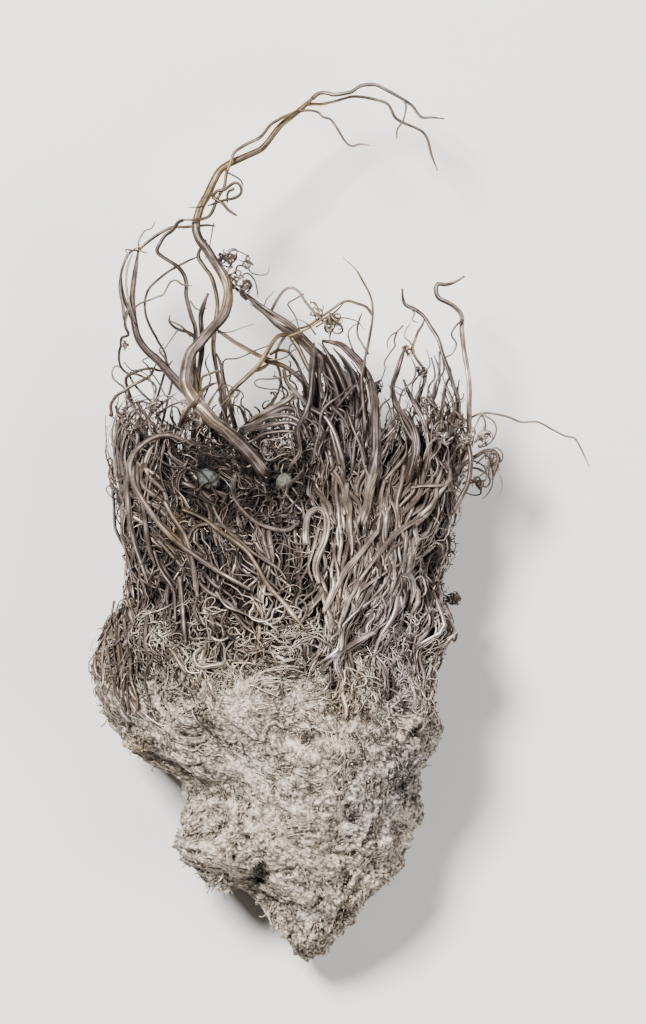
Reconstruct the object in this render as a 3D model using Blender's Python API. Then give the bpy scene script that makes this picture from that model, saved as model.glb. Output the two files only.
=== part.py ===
"""Native wire silver lying on its back: a felted lump of silver with curved wires growing out of it.

The frame is the specimen's own as it lies on a table. +Y runs along the growth, from the stubby
foot of the lump to the tips of the wires, +X is to the right seen from above, and +Z is up. The
origin is on the table, under the middle of the lump. Lengths in the tables are millimetres.
"""

import math

import bmesh
import bpy
import numpy as np
from mathutils import Vector
from mathutils.bvhtree import BVHTree

MM = 0.001

# Driving dimensions of the lump
LUMP_ROUNDNESS = 2.35
LUMP_RINGS = 40
LUMP_SIDES = 48
SPINE_LOW, SPINE_HIGH = -20.0, 20.0
COARSE_LUMP = {"size": 6.5, "height": 1.4}
FINE_LUMP = {"size": 3.0, "height": 0.9}
RIDGES = {"width": 4.2, "length": 15.0, "height": 1.3, "start": -2.0, "full": 6.0}

# Gap kept between two pieces that touch in the real specimen
GAP = 0.3

# Driving dimensions of the wires
RING_STEP = 1.5
STALK_STEP = 2.8
THIN_WIRE = 0.19
TABLE_SIZE = 200.0
TABLE_DEPTH = 20.0

# Outline of the lump, foot first: place along Y, left side, right side, back and front
LUMP_OUTLINE = [
    (-27.2, 1.9, 2.3, 5.6, 6.4),
    (-26.7, 0.9, 3.3, 4.0, 8.2),
    (-25.5, -0.4, 4.4, 2.8, 9.8),
    (-23.5, -1.3, 6.2, 1.6, 11.8),
    (-21.5, -2.4, 7.4, 0.7, 14.2),
    (-20.2, -4.4, 8.4, -0.5, 15.8),
    (-18.5, -8.0, 9.8, -0.8, 17.6),
    (-17.0, -10.9, 11.0, -1.0, 18.8),
    (-15.5, -11.5, 11.7, -1.2, 19.8),
    (-13.5, -10.4, 12.4, -1.3, 20.8),
    (-11.0, -10.3, 12.8, -1.4, 21.8),
    (-9.0, -10.8, 13.0, -1.4, 22.8),
    (-7.7, -13.8, 13.4, -1.4, 23.5),
    (-5.5, -16.0, 14.0, -1.4, 24.2),
    (-2.5, -17.9, 14.6, -1.4, 25.2),
    (0.0, -18.7, 14.8, -1.4, 25.8),
    (3.0, -19.0, 15.0, -1.4, 26.2),
    (5.0, -18.8, 15.3, -1.4, 26.2),
    (7.5, -17.6, 15.4, -1.4, 25.8),
    (10.0, -15.9, 15.6, -1.4, 25.2),
    (13.0, -15.2, 15.8, -1.2, 24.4),
    (16.0, -15.5, 16.0, -0.8, 23.2),
    (19.0, -16.2, 16.4, 0.2, 21.8),
    (21.5, -16.6, 16.8, 1.4, 20.2),
    (23.5, -16.4, 16.6, 2.6, 18.4),
    (25.0, -15.4, 15.6, 4.4, 16.6),
    (26.0, -13.0, 13.0, 6.6, 14.4),
    (26.6, -1.0, 1.0, 10.0, 11.0),
]

# Swellings and hollows of the lump: centre, reach and height, which is negative for a hollow
SWELLINGS = {
    "left shoulder": ((-15.5, 1.0, 17.0), 5.0, 1.6),
    "left shoulder's underside": ((-11.0, -9.5, 18.0), 2.6, -2.4),
    "knob": ((-8.6, -15.5, 14.5), 3.2, 1.6),
    "cleft": ((-4.0, -18.6, 15.0), 1.7, -3.4),
    "notch beside the knob": ((-5.4, -19.8, 12.0), 1.6, -1.8),
    "foot": ((2.2, -22.6, 9.5), 2.6, 0.9),
    "belly": ((4.0, -6.0, 22.0), 6.0, 1.2),
    "right ledge": ((13.6, -3.6, 13.0), 2.0, 1.5),
    "right toe": ((11.8, -13.2, 12.5), 2.0, 0.6),
    "dark hollow": ((-6.5, 21.5, 20.0), 4.2, -3.2),
    "small hollow": ((0.5, 24.0, 17.5), 2.6, -2.0),
}

# Thick stalks fused to the lump, which the free wires rise from: radii at root and tip, and route
STALKS = {
    "left_edge": ((0.9, 0.6), [(-15.0, 13.0, 12.6), (-16.6, 17.0, 12.6), (-17.0, 21.0, 12.2), (-17.6, 25.0, 12.0),
                               (-17.2, 29.2, 11.8)]),
    "left_outer": ((1.7, 0.8), [(-14.6, 20.0, 11.0), (-15.4, 25.0, 11.2), (-15.6, 30.2, 11.4)]),
    "left_inner": ((1.5, 0.9), [(-12.6, 20.0, 9.0), (-13.2, 25.0, 9.4), (-13.7, 29.4, 9.8)]),
    "basket_back": ((1.4, 0.6), [(-11.0, 20.0, 8.0), (-11.5, 25.0, 8.0), (-11.7, 29.0, 8.4)]),
    "basket_floor": ((1.5, 0.8), [(-3.6, 20.0, 8.0), (-3.4, 25.0, 8.2), (-3.0, 28.6, 8.6)]),
    "middle_left": ((1.7, 0.7), [(1.2, 20.0, 11.4), (1.8, 26.0, 12.2), (1.6, 30.8, 12.6)]),
    "middle_centre": ((1.7, 0.8), [(3.8, 20.0, 11.4), (4.2, 26.0, 12.2), (3.8, 32.2, 12.4)]),
    "middle_right": ((1.7, 0.7), [(6.4, 20.0, 11.6), (6.8, 26.0, 12.6), (6.2, 31.6, 13.0)]),
    "middle_front": ((1.5, 0.8), [(7.2, 18.0, 15.2), (7.8, 23.0, 15.8), (7.9, 28.6, 15.4)]),
    "right_first": ((1.6, 0.6), [(9.4, 20.0, 12.0), (9.9, 25.0, 12.6), (10.2, 29.2, 12.8)]),
    "right_second": ((1.6, 0.7), [(11.6, 20.0, 13.0), (12.2, 25.0, 13.6), (12.4, 30.6, 13.4)]),
    "right_third": ((1.6, 0.7), [(13.4, 20.0, 11.0), (14.2, 25.0, 11.8), (14.2, 29.8, 12.0)]),
    "right_fourth": ((1.5, 0.6), [(14.8, 19.0, 12.4), (15.8, 24.0, 12.8), (15.7, 29.2, 13.0)]),
    "knob_spur": ((1.7, 1.0), [(-8.4, -14.0, 12.0), (-7.8, -17.0, 11.4), (-7.0, -20.0, 10.6)]),
}

# Wires that stand free of the lump. Each has the radii at its first and last point, its colour,
# and a route of (x, y, z) that starts at the root where it has one in the lump
FREE_WIRES = {
    "arch_stem_lower": ((0.74, 0.42), "bright", [
        (-0.6, 19.8, 12.5), (-2.3, 21.6, 18.0), (-3.4, 22.9, 19.4), (-4.6, 24.3, 20.1), (-6.0, 25.6, 20.4),
        (-7.6, 26.9, 20.4), (-8.7, 28.0, 20.2), (-9.8, 29.4, 20.0), (-10.3, 30.6, 19.8), (-10.2, 32.0, 19.5),
        (-9.7, 33.5, 19.3), (-8.4, 35.2, 18.9), (-7.3, 36.4, 18.5), (-6.5, 37.6, 18.1), (-6.1, 39.0, 17.7),
        (-6.2, 40.2, 17.4), (-6.7, 41.4, 17.1), (-7.4, 42.5, 16.8), (-8.1, 43.7, 16.5), (-8.9, 44.9, 16.2),
    ]),
    "arch_stem_upper": ((0.42, 0.24), "golden", [
        (-9.3, 46.0, 16.1), (-9.3, 46.8, 16.0), (-8.9, 48.2, 15.8), (-8.2, 49.5, 15.6), (-7.5, 50.9, 15.4),
        (-6.9, 51.9, 15.2), (-6.1, 52.5, 15.0), (-4.1, 53.4, 14.7), (-2.9, 54.0, 14.4), (-2.1, 54.8, 14.2),
        (-1.4, 55.8, 14.0), (-0.7, 56.6, 13.8), (0.2, 57.3, 13.6), (1.1, 58.1, 13.4), (2.0, 58.9, 13.2),
        (2.7, 59.6, 13.1),
    ]),
    "arch_tip_upper": ((0.22, 0.13), "bright", [
        (3.4, 59.7, 13.4), (4.4, 59.5, 13.6), (5.4, 59.6, 13.6), (6.2, 59.8, 13.5), (6.9, 60.3, 13.3),
        (7.7, 60.5, 13.1), (8.6, 60.5, 12.9), (9.5, 60.1, 12.7), (11.0, 59.3, 12.5), (12.2, 58.5, 12.3),
        (12.7, 57.8, 12.2), (13.2, 57.3, 12.1), (14.2, 57.3, 12.1), (15.5, 57.2, 12.0),
    ]),
    "arch_tip_lower": ((0.17, 0.13), "golden", [
        (2.5, 58.6, 12.5), (3.2, 58.6, 12.4), (4.5, 58.9, 12.3), (5.4, 59.2, 12.3), (6.4, 59.4, 12.2),
        (8.1, 59.2, 12.0), (9.6, 58.8, 11.8), (10.1, 58.2, 11.6), (10.4, 57.5, 11.5), (11.0, 57.0, 11.3),
        (12.4, 56.4, 11.2), (13.3, 55.9, 11.1), (13.8, 55.1, 11.1), (14.2, 53.6, 11.2), (14.8, 52.0, 11.3),
    ]),
    "arch_tip_twig": ((0.12, 0.10), "golden", [
        (11.3, 58.5, 13.1), (11.6, 58.0, 13.2), (11.4, 57.2, 13.1), (11.1, 56.6, 13.0), (10.7, 56.0, 12.8),
        (10.7, 55.1, 12.6),
    ]),
    "arch_side_twig": ((0.13, 0.10), "bright", [
        (1.8, 57.9, 14.3), (2.8, 57.7, 14.5), (3.3, 57.2, 14.6), (4.0, 57.0, 14.6), (4.5, 56.4, 14.5),
        (5.5, 54.8, 14.3), (6.2, 54.3, 14.1), (7.0, 54.5, 13.9), (8.0, 54.4, 13.7),
    ]),
    "companion_upper": ((0.15, 0.19), "golden", [
        (0.1, 57.5, 14.6), (-0.8, 57.1, 14.8), (-1.9, 56.4, 14.9), (-2.5, 55.6, 15.0), (-3.1, 55.0, 15.3),
        (-4.4, 54.4, 15.6), (-5.5, 53.6, 15.9), (-5.9, 52.6, 16.2), (-6.3, 51.4, 16.3), (-6.5, 50.2, 16.3),
        (-7.2, 48.9, 16.6), (-7.8, 47.5, 17.0), (-8.4, 47.0, 17.1), (-9.5, 46.8, 17.2),
    ]),
    "companion_lower": ((0.24, 0.19), "tarnished", [
        (-11.4, 24.6, 13.4), (-10.0, 28.6, 14.2), (-9.6, 31.6, 14.6), (-9.5, 33.6, 14.9), (-9.4, 35.9, 15.2), (-9.8, 37.4, 15.6),
        (-10.3, 39.3, 15.9), (-10.3, 40.5, 16.0), (-10.6, 41.5, 16.2), (-11.3, 42.3, 16.4), (-12.6, 43.1, 16.6),
        (-13.2, 43.7, 16.7), (-12.9, 44.5, 16.8), (-12.4, 45.3, 16.9), (-11.7, 45.8, 17.0), (-11.1, 46.6, 17.1),
        (-10.6, 46.8, 17.2),
    ]),
    "cross_wire": ((0.17, 0.13), "golden", [
        (-14.5, 44.5, 14.0), (-13.6, 45.2, 14.4), (-12.6, 45.8, 14.8), (-11.6, 46.2, 15.0), (-10.6, 46.2, 15.0),
        (-9.2, 46.3, 14.9), (-8.2, 46.4, 14.9), (-7.4, 46.3, 14.9),
    ]),
    "left_riser": ((0.55, 0.20), "tarnished", [
        (-6.6, 24.6, 9.0), (-8.6, 27.6, 12.4), (-10.3, 29.7, 13.4), (-11.9, 31.5, 13.8), (-13.3, 33.0, 14.0),
        (-14.4, 34.0, 14.0), (-15.1, 35.0, 14.0), (-15.5, 36.4, 14.0), (-15.7, 38.2, 14.0), (-15.7, 39.9, 14.0),
        (-15.5, 41.5, 14.0), (-15.3, 42.8, 14.0), (-15.1, 44.2, 14.0),
    ]),
    "left_riser_strand": ((0.19, 0.13), "tarnished", [
        (-16.5, 37.0, 13.6), (-16.7, 38.6, 13.3), (-17.0, 40.0, 13.2), (-16.9, 41.4, 13.2), (-16.5, 42.8, 13.4),
        (-15.9, 44.0, 13.3),
    ]),
    "hoop_wire": ((0.14, 0.13), "tarnished", [
        (-13.6, 28.4, 9.6), (-12.4, 32.8, 12.2), (-13.2, 34.9, 13.6), (-13.9, 36.2, 14.6), (-14.4, 37.6, 15.2),
        (-14.4, 39.0, 15.3), (-14.0, 40.1, 15.3), (-13.2, 40.9, 15.3), (-11.9, 41.9, 15.2), (-10.4, 42.7, 15.2),
        (-9.7, 43.0, 15.2),
    ]),
    "inner_strand": ((0.24, 0.22), "golden", [
        (-6.2, 24.4, 11.4), (-6.6, 28.4, 13.4), (-7.4, 32.4, 14.8), (-7.6, 34.6, 15.4), (-7.4, 36.6, 15.7), (-7.2, 38.2, 15.6), (-7.4, 39.8, 15.4),
        (-7.8, 41.2, 15.3), (-8.5, 42.2, 15.2), (-9.1, 43.2, 15.2),
    ]),
    "inner_ribbon": ((0.30, 0.30), "tarnished", [
        (-9.8, 24.4, 8.0), (-9.4, 29.8, 11.4), (-8.8, 33.6, 13.2), (-8.9, 36.2, 14.0), (-8.9, 37.4, 14.4), (-8.5, 38.6, 14.7),
        (-8.1, 39.6, 14.8),
    ]),
    "wavy_twig": ((0.12, 0.10), "golden", [
        (-15.0, 38.5, 16.0), (-13.9, 38.9, 16.4), (-13.2, 39.2, 16.6), (-12.6, 39.4, 16.7), (-12.2, 40.1, 16.8),
        (-11.8, 40.7, 16.9), (-11.2, 40.8, 17.0), (-10.7, 40.4, 17.0), (-9.7, 40.3, 17.0),
    ]),
    "rod_from_stem": ((0.25, 0.20), "golden", [
        (1.8, 28.6, 12.8), (1.4, 30.6, 15.0), (0.5, 31.6, 15.6), (-0.4, 32.2, 15.9), (-1.7, 32.8, 16.2),
        (-3.2, 33.4, 16.6), (-5.2, 34.5, 17.2), (-6.6, 35.5, 17.5),
    ]),
    "rod_across": ((0.26, 0.22), "golden", [
        (-5.0, 24.8, 12.6), (-5.8, 27.6, 16.0), (-6.0, 29.4, 17.0), (-5.3, 30.3, 17.3), (-4.3, 31.2, 17.5),
        (-3.2, 32.3, 17.6), (-2.4, 33.4, 17.6), (-1.8, 34.4, 17.4), (-1.2, 35.2, 17.0), (-0.3, 35.4, 16.4),
    ]),
    "slanting_spar": ((0.50, 0.22), "tarnished", [
        (3.9, 30.4, 12.6), (3.6, 31.8, 13.8), (2.9, 33.2, 14.4), (1.9, 34.4, 14.6), (0.8, 35.6, 14.7),
        (-0.5, 36.8, 14.7), (-1.8, 37.6, 14.7), (-3.0, 38.4, 14.6), (-4.2, 39.3, 14.5), (-5.0, 40.0, 14.5),
    ]),
    "sheaf_outer": ((0.58, 0.32), "tarnished", [
        (7.6, 18.4, 16.8), (8.1, 20.4, 19.6), (8.4, 22.4, 20.8), (8.5, 25.0, 20.6), (8.5, 27.6, 19.8),
        (8.3, 29.4, 19.0), (7.8, 31.0, 18.4), (7.1, 32.3, 18.0), (6.2, 33.4, 17.7), (5.1, 34.3, 17.5),
        (4.1, 34.7, 17.3), (3.2, 34.8, 17.1),
    ]),
    "sheaf_second": ((0.38, 0.26), "tarnished", [
        (6.2, 20.8, 17.0), (6.4, 23.0, 18.6), (6.4, 26.0, 18.3), (6.2, 28.6, 17.6), (5.8, 30.4, 17.0),
        (5.0, 32.1, 16.6), (4.0, 33.4, 16.2), (3.3, 33.9, 16.1),
    ]),
    "sheaf_third": ((0.36, 0.26), "tarnished", [
        (4.9, 20.6, 17.4), (5.2, 23.4, 19.0), (5.2, 26.0, 19.2), (4.9, 28.6, 18.7), (4.4, 30.6, 18.2),
        (3.7, 32.2, 17.8), (3.0, 33.2, 17.6),
    ]),
    "sheaf_fourth": ((0.22, 0.20), "tarnished", [
        (0.6, 22.2, 14.0), (1.2, 24.4, 18.4), (1.4, 26.6, 18.8), (2.0, 29.1, 18.8), (2.3, 30.6, 18.6),
        (2.4, 32.0, 18.4), (2.4, 33.3, 18.2),
    ]),
    "fork_wire": ((0.22, 0.08), "golden", [
        (7.3, 23.6, 16.8), (7.4, 26.4, 20.2), (7.2, 29.0, 20.0), (7.1, 31.0, 19.4), (7.4, 32.8, 19.0),
        (7.8, 34.6, 18.4), (8.2, 36.8, 17.6), (8.2, 38.4, 17.0), (7.9, 39.5, 16.8), (7.3, 40.7, 16.6),
        (6.6, 41.9, 16.4), (5.3, 43.1, 16.2),
    ]),
    "fork_branch": ((0.15, 0.12), "golden", [
        (7.6, 38.2, 16.4), (6.8, 38.5, 16.2), (5.9, 38.8, 16.0), (5.1, 38.6, 15.9), (4.1, 37.9, 15.8),
        (2.8, 37.0, 15.6), (1.9, 36.4, 15.8),
    ]),
    "small_arch": ((0.16, 0.12), "bright", [
        (-1.6, 38.3, 15.6), (-1.1, 39.2, 15.9), (-0.5, 39.9, 16.1), (0.2, 40.1, 16.3), (0.9, 39.7, 16.4),
        (1.5, 38.8, 16.5), (2.4, 37.7, 16.6), (3.3, 36.8, 16.6), (3.9, 35.8, 16.8),
    ]),
    "right_tall_wire": ((0.28, 0.10), "bright", [
        (15.6, 19.6, 11.4), (17.5, 23.6, 12.2), (17.8, 25.2, 12.9), (17.9, 27.1, 13.6), (17.9, 28.8, 13.8), (17.9, 30.4, 13.8),
        (17.7, 32.2, 13.6), (17.4, 34.0, 13.4), (17.2, 36.0, 13.2), (17.2, 37.4, 13.0), (16.5, 38.3, 12.8),
        (15.7, 38.8, 12.6), (14.9, 39.2, 12.5), (14.6, 39.9, 12.4), (14.8, 40.6, 12.3), (15.6, 40.6, 12.2),
        (16.4, 40.8, 12.1), (17.5, 41.4, 12.0),
    ]),
    "right_leaning_wire": ((0.24, 0.10), "tarnished", [
        (15.9, 23.6, 13.2), (16.6, 26.4, 15.2), (16.8, 28.6, 16.2), (16.3, 30.4, 16.4), (15.8, 31.8, 16.4),
        (15.2, 33.5, 16.2), (14.8, 34.9, 15.9), (14.1, 36.1, 15.6), (13.3, 37.3, 15.3), (12.4, 38.0, 15.1),
        (11.6, 38.4, 14.9), (11.3, 39.0, 14.8), (11.2, 40.1, 14.7),
    ]),
    "right_fork_twig": ((0.18, 0.13), "golden", [
        (12.5, 27.6, 14.0), (13.1, 29.9, 16.6), (13.5, 31.1, 17.0), (13.3, 32.0, 17.2), (12.6, 33.0, 17.3),
        (12.2, 33.9, 17.3), (12.5, 35.0, 17.0), (12.8, 35.8, 16.6), (13.2, 36.4, 16.2),
    ]),
    "right_bundle": ((0.46, 0.26), "tarnished", [
        (11.2, 19.6, 16.6), (11.8, 21.4, 19.4), (12.4, 23.4, 20.2), (12.5, 25.0, 20.0), (12.0, 26.4, 19.6),
        (11.1, 27.5, 19.2), (10.4, 28.6, 18.9), (10.2, 30.0, 18.6), (10.6, 31.5, 18.3), (11.0, 32.8, 18.0),
        (11.5, 34.2, 17.7),
    ]),
    "right_bundle_partner": ((0.34, 0.20), "bright", [
        (13.2, 20.6, 15.8), (13.6, 22.6, 18.6), (13.7, 24.8, 18.8), (13.2, 26.8, 18.4), (12.4, 28.4, 18.0),
        (11.7, 29.8, 17.7), (11.3, 31.0, 17.4),
    ]),
    "right_reed": ((0.20, 0.12), "tarnished", [
        (14.2, 26.8, 12.6), (14.3, 29.6, 14.6), (14.9, 30.8, 15.2), (14.8, 32.2, 15.0), (14.4, 33.4, 14.8),
    ]),
    "right_short_reed": ((0.20, 0.14), "tarnished", [
        (15.2, 24.6, 13.6), (15.1, 27.4, 15.8), (15.2, 29.0, 16.5), (15.4, 30.4, 16.9),
    ]),
    "far_right_whisker": ((0.13, 0.09), "bright", [
        (14.8, 25.4, 11.8), (18.2, 27.3, 12.0), (19.4, 27.7, 12.2), (20.6, 27.6, 12.3), (21.9, 27.3, 12.3),
        (23.2, 26.8, 12.2), (24.8, 26.8, 12.1), (26.2, 26.1, 12.0), (27.6, 25.4, 11.9), (28.5, 25.2, 11.8),
        (29.1, 24.3, 11.7), (30.0, 22.3, 11.6),
    ]),
    "right_curl": ((0.26, 0.18), "tarnished", [
        (15.2, 20.6, 13.4), (17.4, 22.6, 14.2), (18.6, 23.4, 14.4), (19.5, 23.9, 14.4), (20.3, 23.9, 14.4),
        (20.8, 23.2, 14.3), (20.6, 22.3, 14.2), (20.2, 21.0, 14.0),
    ]),
    "left_rim_twig": ((0.20, 0.12), "tarnished", [
        (-15.6, 28.2, 11.6), (-16.4, 31.0, 13.0), (-15.4, 31.8, 13.6), (-14.0, 32.2, 11.8), (-12.8, 32.0, 10.8),
        (-11.8, 33.0, 10.0),
    ]),
}

# Wires that lie along the front of the lump, as (x, y) with the height taken from the lump
LAID_WIRES = {
    "left_sweep": ((0.30, 0.26), "bright", [
        (-12.6, 25.0), (-13.8, 24.6), (-14.8, 23.9), (-15.5, 22.8), (-15.5, 21.0), (-14.8, 19.4), (-13.6, 17.6),
        (-12.2, 15.9), (-10.8, 14.6), (-8.9, 13.2), (-7.0, 12.0), (-5.2, 11.0), (-3.8, 10.2),
    ]),
    "middle_sweep": ((0.24, 0.22), "golden", [
        (-10.6, 18.1), (-8.4, 17.1), (-6.4, 15.6), (-4.4, 14.2), (-3.2, 12.5), (-2.0, 10.5), (-0.4, 8.7),
        (1.6, 6.3),
    ]),
    "hairpin_wire": ((0.34, 0.34), "bright", [
        (1.7, 14.6), (1.6, 16.2), (1.8, 17.4), (2.4, 18.0), (3.1, 18.0), (3.6, 17.3), (3.7, 16.0),
        (3.4, 14.8), (2.9, 13.6), (2.6, 12.2), (2.9, 10.8),
    ]),
    "right_sweep": ((0.26, 0.22), "bright", [
        (8.6, 15.9), (7.0, 13.8), (5.5, 12.2), (4.6, 10.4), (3.7, 8.4),
    ]),
    "right_brace": ((0.26, 0.22), "bright", [
        (13.2, 17.2), (11.4, 16.4), (9.8, 15.0), (8.2, 12.9), (6.8, 11.0),
    ]),
    "right_bow": ((0.18, 0.16), "bright", [
        (12.0, 20.2), (12.9, 20.4), (14.1, 20.4), (15.2, 20.5), (15.9, 21.0), (15.9, 22.0), (15.4, 23.0),
    ]),
    "lower_strap": ((0.26, 0.22), "bright", [
        (8.4, 6.0), (6.8, 5.2), (5.4, 4.4), (4.0, 3.4),
    ]),
    "shoulder_curl": ((0.24, 0.20), "bright", [
        (-6.4, 3.0), (-7.4, 2.8), (-8.6, 2.6), (-9.2, 3.2), (-9.2, 4.0), (-8.4, 4.6),
    ]),
    "lobe_wire": ((0.20, 0.16), "golden", [
        (-16.4, 7.4), (-16.2, 5.4), (-15.7, 3.4), (-15.6, 1.4), (-15.0, -0.6), (-15.2, -2.4),
    ]),
}

# Mineral grains caught among the wires: centre and half sizes
GRAINS = {
    "pale_bead": ((-0.5, 20.8, 20.6), (0.85, 0.85, 0.85)),
    "grey_crystal": ((-8.0, 21.0, 19.0), (1.1, 0.95, 0.8)),
    "wire_knot": ((16.4, 9.1, 12.6), (0.75, 0.85, 0.8)),
}

# Colour, roughness and metallic value of each finish
FINISHES = {
    "felted": ((0.42, 0.39, 0.34), 0.62, 0.55),
    "bright": ((0.52, 0.47, 0.40), 0.38, 0.90),
    "tarnished": ((0.25, 0.22, 0.20), 0.45, 0.85),
    "golden": ((0.50, 0.38, 0.24), 0.40, 0.88),
    "mineral": ((0.47, 0.47, 0.42), 0.55, 0.00),
}


def lattice_value(cell):
    """A fixed number from 0 to 1 for each whole-number cell."""
    mixed = np.asarray(cell[..., 0] * 374761393 + cell[..., 1] * 668265263 + cell[..., 2] * 1440662683)
    mixed = mixed & 0xFFFFFFFF
    mixed = (mixed ^ (mixed >> 13)) * 1274126177
    return ((mixed ^ (mixed >> 16)) & 0xFFFF) / 65535.0


def soft_noise(points, size):
    """Smooth noise from -1 to 1 whose bumps are size across."""
    place = points / size + 50.0
    cell = np.floor(place).astype(np.int64)
    share = place - cell
    share = share * share * (3.0 - 2.0 * share)
    total = np.zeros(points.shape[:-1])
    for corner in np.ndindex(2, 2, 2):
        weight = np.prod(np.where(corner, share, 1.0 - share), axis=-1)
        total += weight * lattice_value(cell + np.array(corner))
    return 2.0 * total - 1.0


def relief(points):
    """How far the lump stands out at each point: lumps, lengthwise ridges, swellings and hollows."""
    height = COARSE_LUMP["height"] * soft_noise(points, COARSE_LUMP["size"])
    height += FINE_LUMP["height"] * soft_noise(points, FINE_LUMP["size"])
    stretched = points / np.array([RIDGES["width"], RIDGES["length"], RIDGES["width"]])
    share = np.clip((points[..., 1] - RIDGES["start"]) / RIDGES["full"], 0.0, 1.0)
    height += RIDGES["height"] * share * soft_noise(stretched, 1.0)
    for centre, reach, swell in SWELLINGS.values():
        away = np.sum((points - np.array(centre)) ** 2, axis=-1)
        height += swell * np.exp(-away / reach**2)
    return height


def lump_points(along, turn, lift):
    """Points of the lump's surface, raised by lift: along runs over the outline, turn round the section."""
    outline = np.array(LUMP_OUTLINE)
    place = along * (len(outline) - 1)
    y, left, right, back, front = (
        np.interp(place, np.arange(len(outline)), column) for column in outline.T
    )
    power = 2.0 / LUMP_ROUNDNESS
    across = np.sign(np.cos(turn)) * np.abs(np.cos(turn)) ** power
    up = np.sign(np.sin(turn)) * np.abs(np.sin(turn)) ** power
    middle_x, middle_z = (left + right) / 2, (back + front) / 2
    points = np.stack(
        [middle_x + across * (right - left) / 2, y + 0.0 * turn, middle_z + up * (front - back) / 2],
        axis=-1,
    )
    spine = np.stack([middle_x, np.clip(y, SPINE_LOW, SPINE_HIGH), middle_z], axis=-1)
    outward = points - spine
    outward /= np.linalg.norm(outward, axis=-1, keepdims=True)
    return points + outward * (relief(points) + lift)[..., None]


def mesh_object(name, mesh, collection):
    made = bpy.data.objects.new(name, mesh)
    collection.objects.link(made)
    return made


def lump_mesh(name, lift):
    """The lump as rings lofted from foot to top, closed by a point at each end."""
    along = np.linspace(0.0, 1.0, LUMP_RINGS + 1)[1:-1, None]
    turn = np.linspace(0.0, 2 * math.pi, LUMP_SIDES, endpoint=False)[None, :]
    rings = lump_points(along + 0.0 * turn, turn + 0.0 * along, lift)
    ends = [rings[row].mean(axis=0) + np.array([0.0, step, 0.0]) for row, step in ((0, -0.5), (-1, 0.5))]
    shape = bmesh.new()
    loops = [[shape.verts.new(Vector(point) * MM) for point in ring] for ring in rings]
    foot, top = (shape.verts.new(Vector(point) * MM) for point in ends)
    for lower, upper in zip(loops, loops[1:]):
        for side in range(LUMP_SIDES):
            after = (side + 1) % LUMP_SIDES
            shape.faces.new([lower[side], lower[after], upper[after], upper[side]])
    for side in range(LUMP_SIDES):
        after = (side + 1) % LUMP_SIDES
        shape.faces.new([foot, loops[0][after], loops[0][side]])
        shape.faces.new([top, loops[-1][side], loops[-1][after]])
    bmesh.ops.recalc_face_normals(shape, faces=shape.faces)
    mesh = bpy.data.meshes.new(name)
    shape.to_mesh(mesh)
    shape.free()
    return mesh


def rough_ball(name, centre, half_sizes, lift, collection, detail=3, bump=0.12):
    """A ball stretched to its half sizes, with an uneven surface."""
    shape = bmesh.new()
    bmesh.ops.create_icosphere(shape, subdivisions=detail, radius=1.0)
    centre = np.array(centre)
    for vert in shape.verts:
        ray = np.array(vert.co)
        place = centre + ray * (np.array(half_sizes) + lift)
        place += ray * bump * max(half_sizes) * soft_noise(place, max(half_sizes) * 0.6)
        vert.co = Vector(place - centre) * MM
    mesh = bpy.data.meshes.new(name)
    shape.to_mesh(mesh)
    shape.free()
    made = mesh_object(name, mesh, collection)
    made.location = Vector(centre) * MM
    return made


def boolean(target, cutter, operation):
    step = target.modifiers.new(operation.lower() + "_" + cutter.name, "BOOLEAN")
    step.operation = operation
    step.object = cutter
    step.solver = "EXACT"


def hide_helper(helper):
    helper.hide_render = True
    helper.display_type = "WIRE"


def table_cutter(helpers):
    """A slab whose top is the table: what would sink into it is worn flat."""
    bpy.ops.mesh.primitive_cube_add(size=1.0, location=(0, 0, -TABLE_DEPTH / 2 * MM))
    slab = bpy.context.object
    slab.name = "table"
    slab.scale = (TABLE_SIZE * MM, TABLE_SIZE * MM, TABLE_DEPTH * MM)
    for holder in slab.users_collection:
        holder.objects.unlink(slab)
    helpers.objects.link(slab)
    hide_helper(slab)
    return slab


def smooth_route(route, step):
    """Points about step apart on a Catmull-Rom curve through the route."""
    points = np.array(route, float)
    ends = np.vstack([2 * points[0] - points[1], points, 2 * points[-1] - points[-2]])
    share = np.linspace(0.0, 1.0, 12, endpoint=False)[:, None]
    dense = []
    for before, start, stop, beyond in zip(ends, ends[1:], ends[2:], ends[3:]):
        dense.append(
            0.5 * (2 * start + (stop - before) * share
                   + (2 * before - 5 * start + 4 * stop - beyond) * share**2
                   + (3 * start - before - 3 * stop + beyond) * share**3)
        )
    dense = np.vstack([*dense, points[-1:]])
    travelled = np.concatenate([[0.0], np.cumsum(np.linalg.norm(np.diff(dense, axis=0), axis=1))])
    count = max(4, math.ceil(travelled[-1] / step) + 1)
    wanted = np.linspace(0.0, travelled[-1], count)
    return np.stack([np.interp(wanted, travelled, column) for column in dense.T], axis=1)


def laid_route(route, radii, surface):
    """The route with each point set on the front of the lump, clear of it by its own radius."""
    flat = smooth_route(route, RING_STEP)
    radius = max(radii)
    heights = []
    for x, y in flat:
        reach = [(x + dx, y + dy) for dx, dy in ((0, 0), (radius, 0), (-radius, 0), (0, radius), (0, -radius))]
        hits = [surface.ray_cast(Vector((a, b, 60.0)) * MM, Vector((0, 0, -1)))[0] for a, b in reach]
        heights.append(max(hit.z / MM for hit in hits if hit))
    heights = np.array(heights)
    near = np.stack([np.roll(heights, 1), heights, np.roll(heights, -1)])
    near[0, 0], near[2, -1] = heights[0], heights[-1]
    return np.column_stack([flat, near.max(axis=0) + radius + GAP])


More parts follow.
